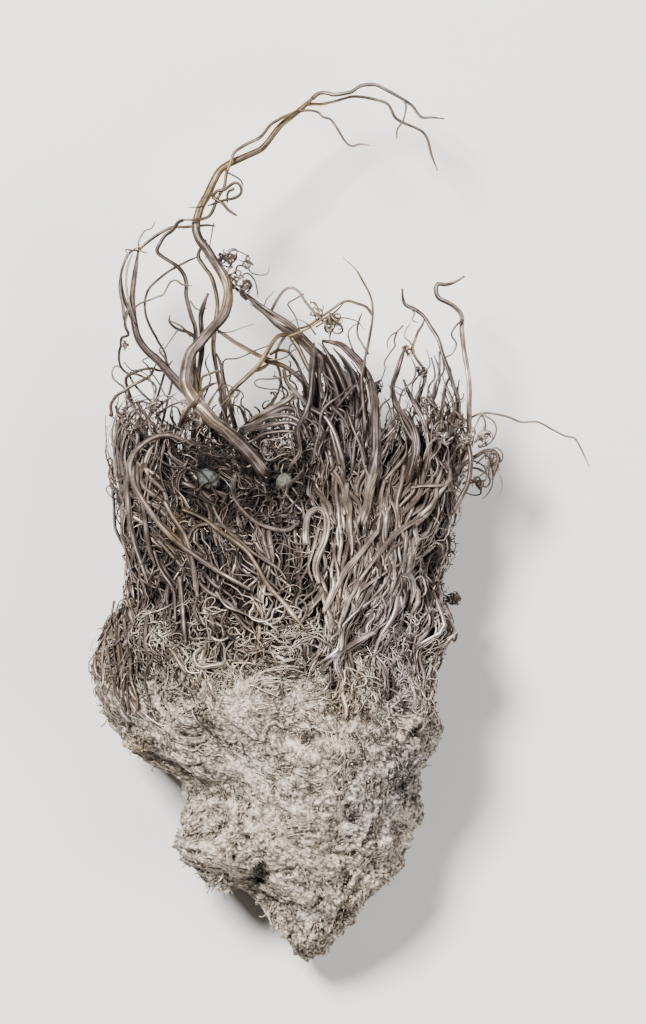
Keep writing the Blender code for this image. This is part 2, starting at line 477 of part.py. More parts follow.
def wire_object(name, route, radii, collection):
    """A wire as a round curve that tapers between its two radii."""
    curve = bpy.data.curves.new(name, "CURVE")
    curve.dimensions = "3D"
    curve.bevel_depth = MM
    curve.bevel_resolution = 1 if max(radii) > THIN_WIRE else 0
    curve.use_fill_caps = True
    spline = curve.splines.new("POLY")
    spline.points.add(len(route) - 1)
    root = route[0]
    for point, place, radius in zip(spline.points, route, np.linspace(*radii, len(route))):
        point.co = (*((place - root) * MM), 1.0)
        point.radius = radius
    made = bpy.data.objects.new(name, curve)
    made.location = Vector(root) * MM
    collection.objects.link(made)
    return made


def as_mesh(wire, collection):
    """The same wire as a closed mesh, which can be cut."""
    bpy.context.view_layer.update()
    graph = bpy.context.evaluated_depsgraph_get()
    name = wire.name
    mesh = bpy.data.meshes.new_from_object(wire.evaluated_get(graph))
    shape = bmesh.new()
    shape.from_mesh(mesh)
    bmesh.ops.remove_doubles(shape, verts=shape.verts, dist=0.00001)
    shape.to_mesh(mesh)
    shape.free()
    place = wire.matrix_world.copy()
    bpy.data.objects.remove(wire)
    made = mesh_object(name, mesh, collection)
    made.matrix_world = place
    return made


def whole_lump(name, lift, collection, helpers):
    """The lump with its stalks joined on."""
    lump = mesh_object(name, lump_mesh(name, lift), collection)
    for place, (radii, route) in STALKS.items():
        wider = [radius + lift for radius in radii]
        stalk = wire_object(f"{name}_{place}_stalk", smooth_route(route, STALK_STEP), wider, helpers)
        stalk = as_mesh(stalk, helpers)
        hide_helper(stalk)
        boolean(lump, stalk, "UNION")
    return lump


def finish(made, kind):
    """Gives a piece its own material and smooth shading."""
    colour, roughness, metallic = FINISHES[kind]
    material = bpy.data.materials.new(f"{made.name}_{kind}_silver" if metallic else f"{made.name}_mineral")
    material.use_nodes = True
    shader = material.node_tree.nodes["Principled BSDF"]
    shader.inputs["Base Color"].default_value = (*colour, 1.0)
    shader.inputs["Roughness"].default_value = roughness
    shader.inputs["Metallic"].default_value = metallic
    made.data.materials.clear()
    made.data.materials.append(material)
    if made.type == "MESH":
        made.data.shade_smooth()


def new_collection(name):
    made = bpy.data.collections.new(name)
    bpy.context.scene.collection.children.link(made)
    return made


def main():
    for old in list(bpy.data.objects):
        bpy.data.objects.remove(old)
    specimen = new_collection("native_silver_specimen")
    helpers = new_collection("cutters")
    table = table_cutter(helpers)

    lump = whole_lump("felted_lump", 0.0, specimen, helpers)
    boolean(lump, table, "DIFFERENCE")
    finish(lump, "felted")

    clearance = whole_lump("lump_clearance", GAP, helpers, helpers)
    hide_helper(clearance)
    bpy.context.view_layer.update()
    surface = BVHTree.FromObject(clearance, bpy.context.evaluated_depsgraph_get())

    pieces = [lump]
    for name, (radii, kind, route) in FREE_WIRES.items():
        wire = wire_object(name, smooth_route(route, RING_STEP), radii, specimen)
        wire = as_mesh(wire, specimen)
        boolean(wire, clearance, "DIFFERENCE")
        finish(wire, kind)
        pieces.append(wire)
    for name, (radii, kind, route) in LAID_WIRES.items():
        wire = wire_object(name, laid_route(route, radii, surface), radii, specimen)
        finish(wire, kind)
        pieces.append(wire)
    for name, (centre, half_sizes) in GRAINS.items():
        grain = rough_ball(name, centre, half_sizes, 0.0, specimen, detail=2, bump=0.2)
        boolean(grain, clearance, "DIFFERENCE")
        finish(grain, "tarnished" if name == "wire_knot" else "mineral")
        pieces.append(grain)

    stand = bpy.data.objects.new("specimen_origin", None)
    specimen.objects.link(stand)
    for piece in pieces:
        piece.parent = stand


if __name__ == "__main__":
    main()
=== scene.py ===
import math
from functools import partial

import bpy
import numpy as np
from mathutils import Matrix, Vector
from mathutils.bvhtree import BVHTree


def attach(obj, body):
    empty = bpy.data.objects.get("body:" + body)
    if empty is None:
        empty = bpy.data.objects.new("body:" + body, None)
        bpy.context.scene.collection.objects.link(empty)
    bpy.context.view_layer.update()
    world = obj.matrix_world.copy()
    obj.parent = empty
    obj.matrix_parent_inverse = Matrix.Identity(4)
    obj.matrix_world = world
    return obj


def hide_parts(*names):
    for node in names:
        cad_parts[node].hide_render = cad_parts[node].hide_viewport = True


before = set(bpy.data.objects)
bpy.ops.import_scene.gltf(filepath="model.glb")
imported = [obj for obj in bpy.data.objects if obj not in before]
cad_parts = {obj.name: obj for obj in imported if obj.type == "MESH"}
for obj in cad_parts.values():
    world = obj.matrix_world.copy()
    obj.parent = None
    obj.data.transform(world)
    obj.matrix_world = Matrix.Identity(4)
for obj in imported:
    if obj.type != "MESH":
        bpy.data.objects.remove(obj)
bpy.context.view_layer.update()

# Native wire silver lying on its back. Lengths are millimetres until a mesh is made.
# +Y runs from the felted foot to the tips of the wires, +Z is up, away from the table.
mm = 0.001

# The felted lump: the same outline and relief as the solid
lump = dict(
    roundness=2.35,                 # 2 is an ellipse, more is squarer
    halfWidth=15.0,                 # turns a length across the skin into a turn round it
    crownHalfWidth=16.5,            # turns a turn round the crown into a place across it
    spine=(-20.0, 20.0),            # the relief stands out from this stretch of the middle line
    coarse=(6.5, 1.4),              # size and height of the big lumps
    fine=(3.0, 0.9),
    ridge=(4.2, 15.0, 1.3),         # width, length and height of the lengthwise ridges
    ridgeStart=-2.0,
    ridgeFull=6.0,
    reliefEnd=(20.0, 26.0),         # past the top the relief fades out between these
    sink=(0.12, 2.3),               # how far the felt lies under the solid's surface: foot, tangle
    tangleStart=(-3.0, 12.0),       # felt gives way to the floor of the tangle, painted dark as shade, between these
    knobs=(2.6, 0.7),               # size and height of the round lumps of the foot
    crumb=((1.5, 0.34), (0.7, 0.30), (0.34, 0.20)),   # size and height of the crumbs of the felt
    tipStretch=0.45,
    pore=((0.8, 0.55, 0.25), (0.42, 0.28, 0.4)),      # size, depth and how rare the pores are
)

# Place along Y, left side, right side, back and front
outlineRows = np.array([
    (-27.2, 1.9, 2.3, 5.6, 6.4), (-26.7, 0.9, 3.3, 4.0, 8.2), (-25.5, -0.4, 4.4, 2.8, 9.8),
    (-23.5, -1.3, 6.2, 1.6, 11.8), (-21.5, -2.4, 7.4, 0.7, 14.2), (-20.2, -4.4, 8.4, -0.5, 15.8),
    (-18.5, -8.0, 9.8, -0.8, 17.6), (-17.0, -10.9, 11.0, -1.0, 18.8), (-15.5, -11.5, 11.7, -1.2, 19.8),
    (-13.5, -10.4, 12.4, -1.3, 20.8), (-11.0, -10.3, 12.8, -1.4, 21.8), (-9.0, -10.8, 13.0, -1.4, 22.8),
    (-7.7, -13.8, 13.4, -1.4, 23.5), (-5.5, -16.0, 14.0, -1.4, 24.2), (-2.5, -17.9, 14.6, -1.4, 25.2),
    (0.0, -18.7, 14.8, -1.4, 25.8), (3.0, -19.0, 15.0, -1.4, 26.2), (5.0, -18.8, 15.3, -1.4, 26.2),
    (7.5, -17.6, 15.4, -1.4, 25.8), (10.0, -15.9, 15.6, -1.4, 25.2), (13.0, -15.2, 15.8, -1.2, 24.4),
    (16.0, -15.5, 16.0, -0.8, 23.2), (19.0, -16.2, 16.4, 0.2, 21.8), (21.5, -16.6, 16.8, 1.4, 20.2),
    (23.5, -16.4, 16.6, 2.6, 18.4), (25.0, -15.4, 15.6, 4.4, 16.6), (26.0, -13.0, 13.0, 6.6, 14.4),
    (26.6, -1.0, 1.0, 10.0, 11.0),
])

# Past the top of the lump the sheath of wires goes on as this crown
crownRows = np.array([
    (24.0, -17.0, 17.2, 3.2, 20.0), (29.0, -17.2, 17.4, 5.0, 19.6), (34.0, -16.6, 17.6, 6.4, 19.2),
    (46.0, -14.0, 16.4, 9.0, 18.0),
])
crownStart = 22.0
sheathRows = np.vstack([outlineRows[outlineRows[:, 0] < crownStart], crownRows])

# Centre, reach and height of the swellings, with a minus for a hollow
swellings = [
    ((-15.5, 1.0, 17.0), 5.0, 1.6), ((-11.0, -9.5, 18.0), 2.6, -2.4), ((-8.6, -15.5, 14.5), 3.2, 1.6),
    ((-4.0, -18.6, 15.0), 1.7, -3.4), ((-5.4, -19.8, 12.0), 1.6, -1.8), ((2.2, -22.6, 9.5), 2.6, 0.9),
    ((4.0, -6.0, 22.0), 6.0, 1.2), ((13.6, -3.6, 13.0), 2.0, 1.5), ((11.8, -13.2, 12.5), 2.0, 0.6),
    ((-6.5, 21.5, 20.0), 4.2, -3.2), ((0.5, 24.0, 17.5), 2.6, -2.0), ((13.6, -11.6, 12.0), 4.6, -2.5),
    ((8.8, -20.5, 10.0), 2.6, -1.2), ((6.0, -25.0, 8.5), 2.2, -1.3), ((-1.0, -25.4, 8.0), 1.4, -0.9),
    ((-18.2, -3.4, 14.0), 2.2, -0.7), ((-11.0, -13.0, 13.0), 1.8, -0.6), ((14.0, -12.9, 6.4), 1.9, -1.2),
    ((12.4, -14.4, 11.0), 1.7, 0.5), ((4.0, -26.0, 8.0), 1.3, 0.5), ((-16.6, 16.5, 13.0), 3.6, -1.1),
    ((16.8, 15.2, 12.0), 3.0, -1.1),
]


# A fixed number from 0 to 1 for each whole-number cell, by mixing the bits of its three numbers
def latticeValue(cell):
    mixed = np.asarray(cell[..., 0] * 374761393 + cell[..., 1] * 668265263 + cell[..., 2] * 1440662683)
    mixed = mixed & 0xFFFFFFFF
    mixed = (mixed ^ (mixed >> 13)) * 1274126177
    return ((mixed ^ (mixed >> 16)) & 0xFFFF) / 65535.0


# Smooth noise from -1 to 1: the values of the eight lattice corners, blended with a smooth step
def softNoise(points, size):
    place = points / size + 50.0
    cell = np.floor(place).astype(np.int64)
    share = place - cell
    share = share * share * (3.0 - 2.0 * share)
    total = np.zeros(points.shape[:-1])
    for corner in np.ndindex(2, 2, 2):
        weight = np.prod(np.where(corner, share, 1.0 - share), axis=-1)
        total += weight * latticeValue(cell + np.array(corner))
    return 2.0 * total - 1.0


# Round lumps with sharp creases between them: the size of two noises, whatever their sign. The
# second is turned, so that no rows of lumps show.
def billow(points, size):
    turned = points @ np.array([[0.36, 0.48, -0.8], [-0.8, 0.6, 0.0], [0.48, 0.64, 0.6]])
    return (1.5 * np.abs(softNoise(turned, size))
            + 1.1 * np.abs(softNoise(turned[..., ::-1] + 9.0, 0.7 * size)) - 0.55)


# A push in three directions, each a soft noise of its own
def softPush(points, size):
    shifts = ((0.0, 0.0, 0.0), (31.7, 5.3, 12.9), (7.7, 41.1, 23.3))
    return np.stack([softNoise(points + np.array(shift) * size, size) for shift in shifts], axis=-1)


# 0 below low, 1 above high, and 3 s^2 - 2 s^3 of the share s between them
def smoothStep(value, low, high):
    share = np.clip((value - low) / (high - low), 0.0, 1.0)
    return share * share * (3.0 - 2.0 * share)


# Each column of the rows, read off at the places wanted
def readRows(wanted, places, rows):
    return np.stack([np.interp(wanted, places, column) for column in rows.T], axis=-1)


# How far the lump stands out: big and small lumps, lengthwise ridges on the tangle, swellings
def relief(points):
    height = lump["coarse"][1] * softNoise(points, lump["coarse"][0])
    height += lump["fine"][1] * softNoise(points, lump["fine"][0])
    width, length, tall = lump["ridge"]
    share = np.clip((points[..., 1] - lump["ridgeStart"]) / lump["ridgeFull"], 0.0, 1.0)
    height += tall * share * softNoise(points / np.array([width, length, width]), 1.0)
    for centre, reach, swell in swellings:
        away = np.sum((points - np.array(centre)) ** 2, axis=-1)
        height += swell * np.exp(-away / reach**2)
    return height


# A point of a superellipse ring, pushed out from the spine by relief (times share) and by lift
def ringPoints(section, turn, lift, share=1.0):
    y, left, right, back, front = section
    power = 2.0 / lump["roundness"]
    across = np.sign(np.cos(turn)) * np.abs(np.cos(turn)) ** power
    up = np.sign(np.sin(turn)) * np.abs(np.sin(turn)) ** power
    middleX = (left + right) / 2
    middleZ = (back + front) / 2
    points = np.stack([middleX + across * (right - left) / 2, y + 0.0 * turn,
                       middleZ + up * (front - back) / 2], axis=-1)
    spine = np.stack(np.broadcast_arrays(middleX, np.clip(y, *lump["spine"]), middleZ), axis=-1)
    outward = points - spine
    outward /= np.linalg.norm(outward, axis=-1, keepdims=True)
    return points + outward * (relief(points) * share + lift)[..., None]


# The lump's surface: along runs from 0 at the foot to 1 at the top, turn goes round it
def lumpSurface(along, turn, lift):
    place = along * (len(outlineRows) - 1)
    rows = np.arange(len(outlineRows))
    return ringPoints([np.interp(place, rows, column) for column in outlineRows.T], turn, lift)


# The same skin by its place along Y, carried on past the lump as the crown
def sheathSurface(y, turn, lift):
    section = [y] + [np.interp(y, sheathRows[:, 0], column) for column in sheathRows.T[1:]]
    return ringPoints(section, turn, lift, 1.0 - smoothStep(y, *lump["reliefEnd"]))


# Points lifted to a wire's radius above the table where they would cut it
def onTable(points, radius=0.0):
    points[..., 2] = np.maximum(points[..., 2], radius + 0.02)
    return points


# Catmull-Rom curve through a route of given points, resampled about step apart
def smoothRoute(route, step):
    points = np.array(route, float)
    ends = np.vstack([2 * points[0] - points[1], points, 2 * points[-1] - points[-2]])
    share = np.linspace(0.0, 1.0, 12, endpoint=False)[:, None]
    dense = []
    for before, start, stop, beyond in zip(ends, ends[1:], ends[2:], ends[3:]):
        dense.append(0.5 * (2 * start + (stop - before) * share
                            + (2 * before - 5 * start + 4 * stop - beyond) * share**2
                            + (3 * start - before - 3 * stop + beyond) * share**3))
    dense = np.vstack([*dense, points[-1:]])
    travelled = np.concatenate([[0.0], np.cumsum(np.linalg.norm(np.diff(dense, axis=0), axis=1))])
    wanted = np.linspace(0.0, travelled[-1], max(5, math.ceil(travelled[-1] / step) + 1))
    return readRows(wanted, travelled, dense)


# Two directions across each wire, carried along it so that its ribs don't spin
def carriedFrames(centres):
    tangent = np.gradient(centres, axis=1)
    tangent /= np.maximum(np.linalg.norm(tangent, axis=-1, keepdims=True), 1e-9)
    side = np.empty_like(centres)
    carried = np.cross(tangent[:, 0], np.array([0.31, 0.17, 0.93]))
    for ring in range(centres.shape[1]):
        here = tangent[:, ring]
        carried = carried - here * np.sum(carried * here, axis=-1, keepdims=True)
        carried /= np.maximum(np.linalg.norm(carried, axis=-1, keepdims=True), 1e-9)
        side[:, ring] = carried
    return side, np.cross(tangent, side)


# The direction at some angle between two directions: cos of the angle times one, plus sin of it
# times the other
def directionAt(angle, side, other):
    return np.cos(angle)[..., None] * side + np.sin(angle)[..., None] * other


rng = np.random.default_rng(7)


# A random phase for each wire
def phases(*shape):
    return rng.uniform(0, 6.28, shape)


# The faces between neighbouring rings of points, from their numbers as rings x places round
def ringFaces(index):
    after = np.roll(index, -1, axis=-1)
    return np.stack([index[..., :-1, :], after[..., :-1, :], after[..., 1:, :], index[..., 1:, :]],
                    axis=-1).reshape(-1, 4)


# The same faces turned to look the other way
def flippedFaces(index):
    return ringFaces(index)[:, [0, 3, 2, 1]]


# A shape from its points, their tone and some arrays of faces, each with its own corner count
def faced(points, tone, *faces):
    return dict(points=points.reshape(-1, 3), tone=tone.reshape(-1, 3),
                corners=np.concatenate([part.ravel() for part in faces]),
                sizes=np.concatenate([np.full(len(part), part.shape[1]) for part in faces]))


# Tubes round many centre lines at once: a ring of points at each step, faces between rings and a
# flat cap at each end. The radius is swollen by two sets of ribs, r (1 + d/2 (0.6 cos(a t + w s)
# + 0.4 cos(b t - 0.6 w s))), that wind against each other; ribs are painted lighter as highlight and grooves
#   darker as shade.
# centres is wires x rings x 3, radii wires x rings, tone wires x rings x 3
def tubes(centres, radii, sides, tone, ribs=(2, 3), ribDepth=0.3, wind=0.3, phase=None):
    count, rings = radii.shape
    phase = phases(count) if phase is None else phase
    phase = np.broadcast_to(np.asarray(phase, float), (count,))[:, None, None]
    turn = np.linspace(0.0, 2 * math.pi, sides, endpoint=False)
    side, other = carriedFrames(centres)
    steps = np.linalg.norm(np.diff(centres, axis=1), axis=-1)
    length = np.concatenate([np.zeros((count, 1)), np.cumsum(steps, axis=1)], axis=1)[..., None]
    wave = (0.6 * np.cos(ribs[0] * turn + wind * length + phase)
            + 0.4 * np.cos(ribs[1] * turn - 0.6 * wind * length + 2.3 * phase))
    reach = (radii[..., None] * (1.0 + 0.5 * ribDepth * wave))[..., None]
    points = centres[:, :, None] + reach * directionAt(turn, side[:, :, None], other[:, :, None])
    # Painted highlight on the ribs and painted shade in the grooves
    tone = tone[:, :, None] + np.stack([0.5 * ribDepth * wave, 0.0 * wave, -0.8 * ribDepth * wave], axis=-1)
    index = np.arange(count * rings * sides).reshape(count, rings, sides)
    shape = faced(points, tone, ringFaces(index), np.concatenate([index[:, 0, ::-1], index[:, -1]]))
    # The wire as if it were straight: across, across, along, with each wire on a stretch of its own
    own = (np.arange(count) * 17.3 + phase[:, 0, 0] * 5.1)[:, None, None] + length
    flat = radii[..., None]
    grain = np.broadcast_arrays(flat * np.cos(turn), flat * np.sin(turn), own)
    shape["grain"] = np.stack(grain, axis=-1).reshape(-1, 3)
    return shape


# Several shapes as one, each one's corners counted on from the last
def joined(shapes):
    starts = np.cumsum([0] + [len(shape["points"]) for shape in shapes[:-1]])
    whole = {key: np.concatenate([shape[key] for shape in shapes])
             for key in ("points", "tone", "grain", "sizes")}
    whole["corners"] = np.concatenate([shape["corners"] + start for shape, start in zip(shapes, starts)])
    return whole


# A mesh with the shape's tone and grain as point attributes for the materials
def newMesh(name, shape):
    mesh = bpy.data.meshes.new(name)
    mesh.vertices.add(len(shape["points"]))
    mesh.vertices.foreach_set("co", (shape["points"] * mm).ravel())
    mesh.loops.add(len(shape["corners"]))
    mesh.loops.foreach_set("vertex_index", shape["corners"])
    mesh.polygons.add(len(shape["sizes"]))
    mesh.polygons.foreach_set("loop_start", np.concatenate([[0], np.cumsum(shape["sizes"])[:-1]]))
    mesh.polygons.foreach_set("use_smooth", np.ones(len(shape["sizes"]), bool))
    for key in ("tone", "grain"):
        if key in shape:
            layer = mesh.attributes.new(key, "FLOAT_VECTOR", "POINT")
            layer.data.foreach_set("vector", shape[key].ravel())
    mesh.update(calc_edges=True)
    return mesh


# An sRGB hex code as linear light
def linear(hexCode):
    parts = [int(hexCode[start:start + 2], 16) / 255 for start in (1, 3, 5)]
    return (*[part / 12.92 if part <= 0.04045 else ((part + 0.055) / 1.055) ** 2.4 for part in parts], 1.0)


# Fills a node's inputs: values go to its live ones in order, the rest by name with _ for a space.
# A socket is linked, anything else is set.
def fillInputs(node, *values, **named):
    chosen = list(zip([socket for socket in node.inputs if socket.enabled], values))
    chosen += [(node.inputs[name.replace("_", " ")], value) for name, value in named.items()]
    for socket, value in chosen:
        if isinstance(value, bpy.types.NodeSocket):
            node.id_data.links.new(value, socket)
        else:
            socket.default_value = value


# Adds one node and gives its output. Names in lower case are settings, all else goes to inputs.
def addNode(tree, kind, *values, out=None, **named):
    node = tree.nodes.new("ShaderNode" + kind)
    for name in [name for name in named if name.islower()]:
        setattr(node, name, named.pop(name))
    fillInputs(node, *values, **named)
    return node.outputs[out] if out else next(socket for socket in node.outputs if socket.enabled)


# A material, and the function that adds nodes to its tree
def newMaterial(name):
    material = bpy.data.materials.new(name)
    material.use_nodes = True
    return material, partial(addNode, material.node_tree)


# The material with its own shader's inputs filled
def finished(material, **inputs):
    fillInputs(material.node_tree.nodes["Principled BSDF"], **inputs)
    return material


# The colour that a ramp of (place, hex) stops gives
def fillRamp(colour, stops):
    ramp = colour.node.color_ramp
    while len(ramp.elements) < len(stops):
        ramp.elements.new(0.5)
    for element, (place, hexCode) in zip(ramp.elements, stops):
        element.position = place
        element.color = linear(hexCode)
    return colour


noiseRange = (0.3, 0.7)             # where nearly all of a noise texture's values lie
adding = dict(operation="ADD")
addingClamped = dict(operation="ADD", use_clamp=True)
tinting = dict(data_type="RGBA", blend_type="COLOR")
shading = dict(data_type="RGBA", blend_type="MULTIPLY")

# Native silver wire: grown metal, drawn out of the ore in ribs, under a thin sulphide tarnish.
# The tarnish makes it taupe and tan where the film is thin; dark hollows are painted shade, bright ribs a
# painted highlight.
wireFinish = dict(
    ramp=[(0.0, "#120e0c"), (0.3, "#392f29"), (0.62, "#72655d"), (1.0, "#c6b7a7")],
    gold="#a8894f", cool="#6d6a76", goldMix=0.8,
    striae=(0.13, 3.0),             # width and length of the striations in mm
    mottle=1.3,                     # size of the blotches of tarnish in mm
    streak=0.24, blotch=0.14,       # how far striations and blotches move a point along the ramp
    lilac=0.7, lilacBlotch=0.3,     # most of the cool colour in a lilac spot, and in the blotches
    paintedShadeKeeps=0.16,                     # what full painted shade leaves of the colour
    roughness=(0.68, 0.42), metallic=0.66, bump=0.35, bumpDepth=0.05,
)


def wireMaterial(name, shift=0.0):
    finish = wireFinish
    material, add = newMaterial(name)
    tone = add("Attribute", attribute_name="tone", out="Vector")
    light, gold, paintedShade = add("SeparateXYZ", tone).node.outputs
    across, along = finish["striae"]
    straight = add("Mapping", add("Attribute", attribute_name="grain", out="Vector"),
                   Scale=(1 / across, 1 / across, 1 / along))
    striae = add("TexNoise", straight, Scale=1.0, Detail=2.0)
    mottle = add("TexNoise", add("TexCoord", out="Object"), Scale=1 / (finish["mottle"] * mm), Detail=3.0,
                 Roughness=0.6)
    streaked = add("MapRange", striae, *noiseRange, -finish["streak"], finish["streak"])
    blotched = add("MapRange", mottle, *noiseRange, shift - finish["blotch"], shift + finish["blotch"])
    level = add("Math", add("Math", light, streaked, **adding), blotched, **addingClamped)
    colour = fillRamp(add("ValToRGB", level), finish["ramp"])
    goldShare = add("Math", gold, finish["goldMix"], operation="MULTIPLY", use_clamp=True)
    colour = add("Mix", goldShare, colour, linear(finish["gold"]), **tinting)
    coolShare = add("Math", add("MapRange", mottle, 0.52, 0.72, 0.0, finish["lilacBlotch"]),
                    add("MapRange", gold, 0.0, -1.0, 0.0, finish["lilac"]), **addingClamped)
    colour = add("Mix", coolShare, colour, linear(finish["cool"]), **tinting)
    # Painted shade: the colour is darkened by the tone's third value
    colour = add("Mix", 1.0, colour, add("MapRange", paintedShade, 0.0, 1.0, 1.0, finish["paintedShadeKeeps"]), **shading)
    return finished(
        material, Base_Color=colour, Metallic=finish["metallic"],
        Roughness=add("MapRange", level, 0.1, 0.9, *finish["roughness"]),
        Normal=add("Bump", Strength=finish["bump"], Distance=finish["bumpDepth"] * mm, Height=striae))


# Felted native silver: a mat of hair-thin silver with rock dust in it, so it is pale, matt and
# crumbly; its pores are painted dark as shade, and it is painted darker still as shade between the wires of
# the tangle.
feltFinish = dict(
    ramp=[(0.0, "#1d1814"), (0.35, "#5f564b"), (0.65, "#9d9282"), (1.0, "#cfc5b5")],
    warm="#b39676", cool="#8d8a94", tint=0.8,
    speckle=0.26, grain=0.38, patch=1.5,    # sizes in mm of the speckle, the grains and the patches
    fibre=0.7, fibreWidth=0.075,            # size of the matted curls, and how wide each line is
    speckled=(-0.28, 0.28), grained=(0.10, -0.36),      # how far each of the four moves a point
    patched=(-0.2, 0.2), lined=(-0.1, 0.22),            # along the ramp
    fibreHeight=0.7,
    paintedShadeKeeps=0.04, roughness=0.68, metallic=0.3, bump=0.7, bumpDepth=0.14,
)


def feltMaterial(name):
    finish = feltFinish
    material, add = newMaterial(name)
    tone = add("Attribute", attribute_name="tone", out="Vector")
    light, gold, paintedShade = add("SeparateXYZ", tone).node.outputs
    place = add("TexCoord", out="Object")
    grain = finish["grain"] * mm
    speckle = add("TexNoise", place, Scale=1 / (finish["speckle"] * mm), Detail=4.0, Roughness=0.75)
    pushed = add("TexNoise", place, Scale=1 / grain, Detail=1.0, out="Color")
    pushed = add("VectorMath", pushed, 0.5 * grain, operation="SCALE")
    pushed = add("VectorMath", place, pushed, **adding)
    grains = add("TexVoronoi", pushed, Scale=1 / grain, out="Distance")
    patch = add("TexNoise", place, Scale=1 / (finish["patch"] * mm), Detail=2.0)
    # Curled fibres: thin bright lines where a warped noise crosses its middle value
    fibre = add("TexNoise", place, Scale=1 / (finish["fibre"] * mm), Detail=1.5, Distortion=0.8)
    fibre = add("Math", add("Math", fibre, 0.5, operation="SUBTRACT"), operation="ABSOLUTE")
    fibre = add("MapRange", fibre, 0.0, finish["fibreWidth"], 1.0, 0.0)
    level = light
    for source, sourceRange, name, addUp in (
            (speckle, noiseRange, "speckled", adding), (grains, (0.25, 0.8), "grained", adding),
            (patch, noiseRange, "patched", addingClamped), (fibre, (0.0, 1.0), "lined", addingClamped)):
        level = add("Math", level, add("MapRange", source, *sourceRange, *finish[name]), **addUp)
    colour = fillRamp(add("ValToRGB", level), finish["ramp"])
    for hexCode, end in ((finish["warm"], 1.0), (finish["cool"], -1.0)):
        colour = add("Mix", add("MapRange", gold, 0.0, end, 0.0, finish["tint"]), colour, linear(hexCode),
                     **tinting)
    # Painted shade: the colour is darkened by the tone's third value, in pores and under the tangle
    colour = add("Mix", 1.0, colour, add("MapRange", paintedShade, 0.0, 1.0, 1.0, finish["paintedShadeKeeps"]), **shading)
    height = add("Math", speckle, grains, operation="SUBTRACT")
    height = add("Math", fibre, finish["fibreHeight"], height, operation="MULTIPLY_ADD")
    return finished(
        material, Base_Color=colour, Roughness=finish["roughness"], Metallic=finish["metallic"],
        Normal=add("Bump", Strength=finish["bump"], Distance=finish["bumpDepth"] * mm, Height=height))


wireSilver = wireMaterial("tarnishedNativeSilverWire")
feltSilver = feltMaterial("feltedNativeSilver")
bright, golden, dull, felted = "bright_silver", "golden_silver", "tarnished_silver", "felted_silver"
pieceFaces = {}
print("materials made")


# A finished piece of the specimen, in place of the solids it stands for
def addPiece(name, shape, material=wireSilver, nodes=()):
    piece = bpy.data.objects.new(name, newMesh(name, shape))
    bpy.context.collection.objects.link(piece)
    piece.data.materials.append(material)
    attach(piece, "root")
    if nodes:
        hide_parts(*nodes)
    pieceFaces[name] = int(np.sum(shape["sizes"] - 2))


# Places where the tarnish film turned gold, or with a minus lilac: centre (x, y), reach, strength
tintSpots = [
    ((-7.9, 49.6), 3.2, 0.8), ((0.8, 57.8), 3.0, 0.8), ((-6.3, 39.2), 1.8, 0.5), ((-10.8, 41.8), 1.0, 1.0),
    ((-7.7, 40.6), 1.0, 0.9), ((-11.5, 15.2), 1.6, 0.7), ((7.6, 40.2), 1.6, 0.9), ((-2.4, 33.6), 2.6, 0.7),
    ((-15.2, 43.8), 1.0, 0.8), ((-17.0, 2.6), 2.4, 0.25), ((-10.8, 17.4), 0.5, 1.0),
    ((2.2, 36.4), 1.8, 0.6), ((-7.4, 25.4), 1.6, 0.4), ((-9.6, 29.8), 1.2, 0.4), ((12.6, 34.4), 1.2, 0.6),
    ((17.4, 35.4), 1.4, 0.4), ((11.6, -9.0), 5.0, -0.28), ((10.0, 6.0), 5.0, -0.3),
    ((5.0, 28.0), 5.0, -0.3), ((-1.0, -15.0), 4.0, 0.1), ((6.0, -1.2), 2.2, 0.35),
    ((-15.4, -5.6), 1.2, 0.8), ((-14.0, -6.4), 1.2, 0.5), ((7.4, -20.0), 2.0, 0.3),
]

# Places lighter than the rest, or with a minus darker: partly the own tone of wires and felt, partly painted
# shade, as in the hollow by (-6.5, 22); the darkest small ones are pits painted dark as shade
toneAndShadeSpots = [
    ((5.0, 28.5), 5.0, -0.18), ((-6.5, 22.0), 4.5, -0.14), ((-12.0, 19.0), 6.0, -0.12),
    ((6.0, 14.0), 4.5, 0.10), ((-2.0, 4.5), 7.0, 0.08), ((12.4, -9.0), 5.0, -0.14),
    ((-1.5, -10.5), 6.5, 0.14), ((2.5, -21.5), 4.5, 0.10), ((-16.6, 3.4), 3.4, -0.12),
    ((-14.0, -6.0), 2.2, -0.12), ((-2.8, -17.3), 0.7, -0.6), ((-3.0, -18.2), 0.6, -0.6),
    ((-2.6, -19.0), 0.6, -0.5), ((-5.4, 0.2), 3.5, 0.06), ((4.3, 0.9), 0.45, -0.5), ((4.4, 1.9), 0.4, -0.5),
    ((11.3, -1.3), 0.6, -0.5), ((1.7, -4.6), 0.55, -0.45), ((-8.2, 43.6), 3.0, -0.2),
    ((-6.0, 37.6), 1.4, -0.1), ((-8.6, 35.0), 1.8, -0.14), ((-10.0, 32.2), 1.6, -0.12),
    ((-9.2, 28.7), 1.9, 0.24), ((-5.6, 25.4), 2.2, -0.12), ((-1.6, 21.0), 1.6, -0.12),
    ((4.0, 59.5), 6.0, -0.1), ((-7.0, 50.0), 3.0, -0.05), ((-11.0, 14.0), 5.0, -0.07),
    ((8.0, 20.6), 1.5, 0.2), ((8.4, 23.4), 1.6, 0.14), ((3.7, 10.0), 1.7, 0.22), ((2.8, 15.2), 1.8, 0.1),
    ((12.4, -4.0), 0.5, -0.4), ((6.6, -12.6), 0.5, -0.4), ((-8.0, -3.0), 0.5, -0.35),
    ((2.0, -9.4), 0.45, -0.4),
]

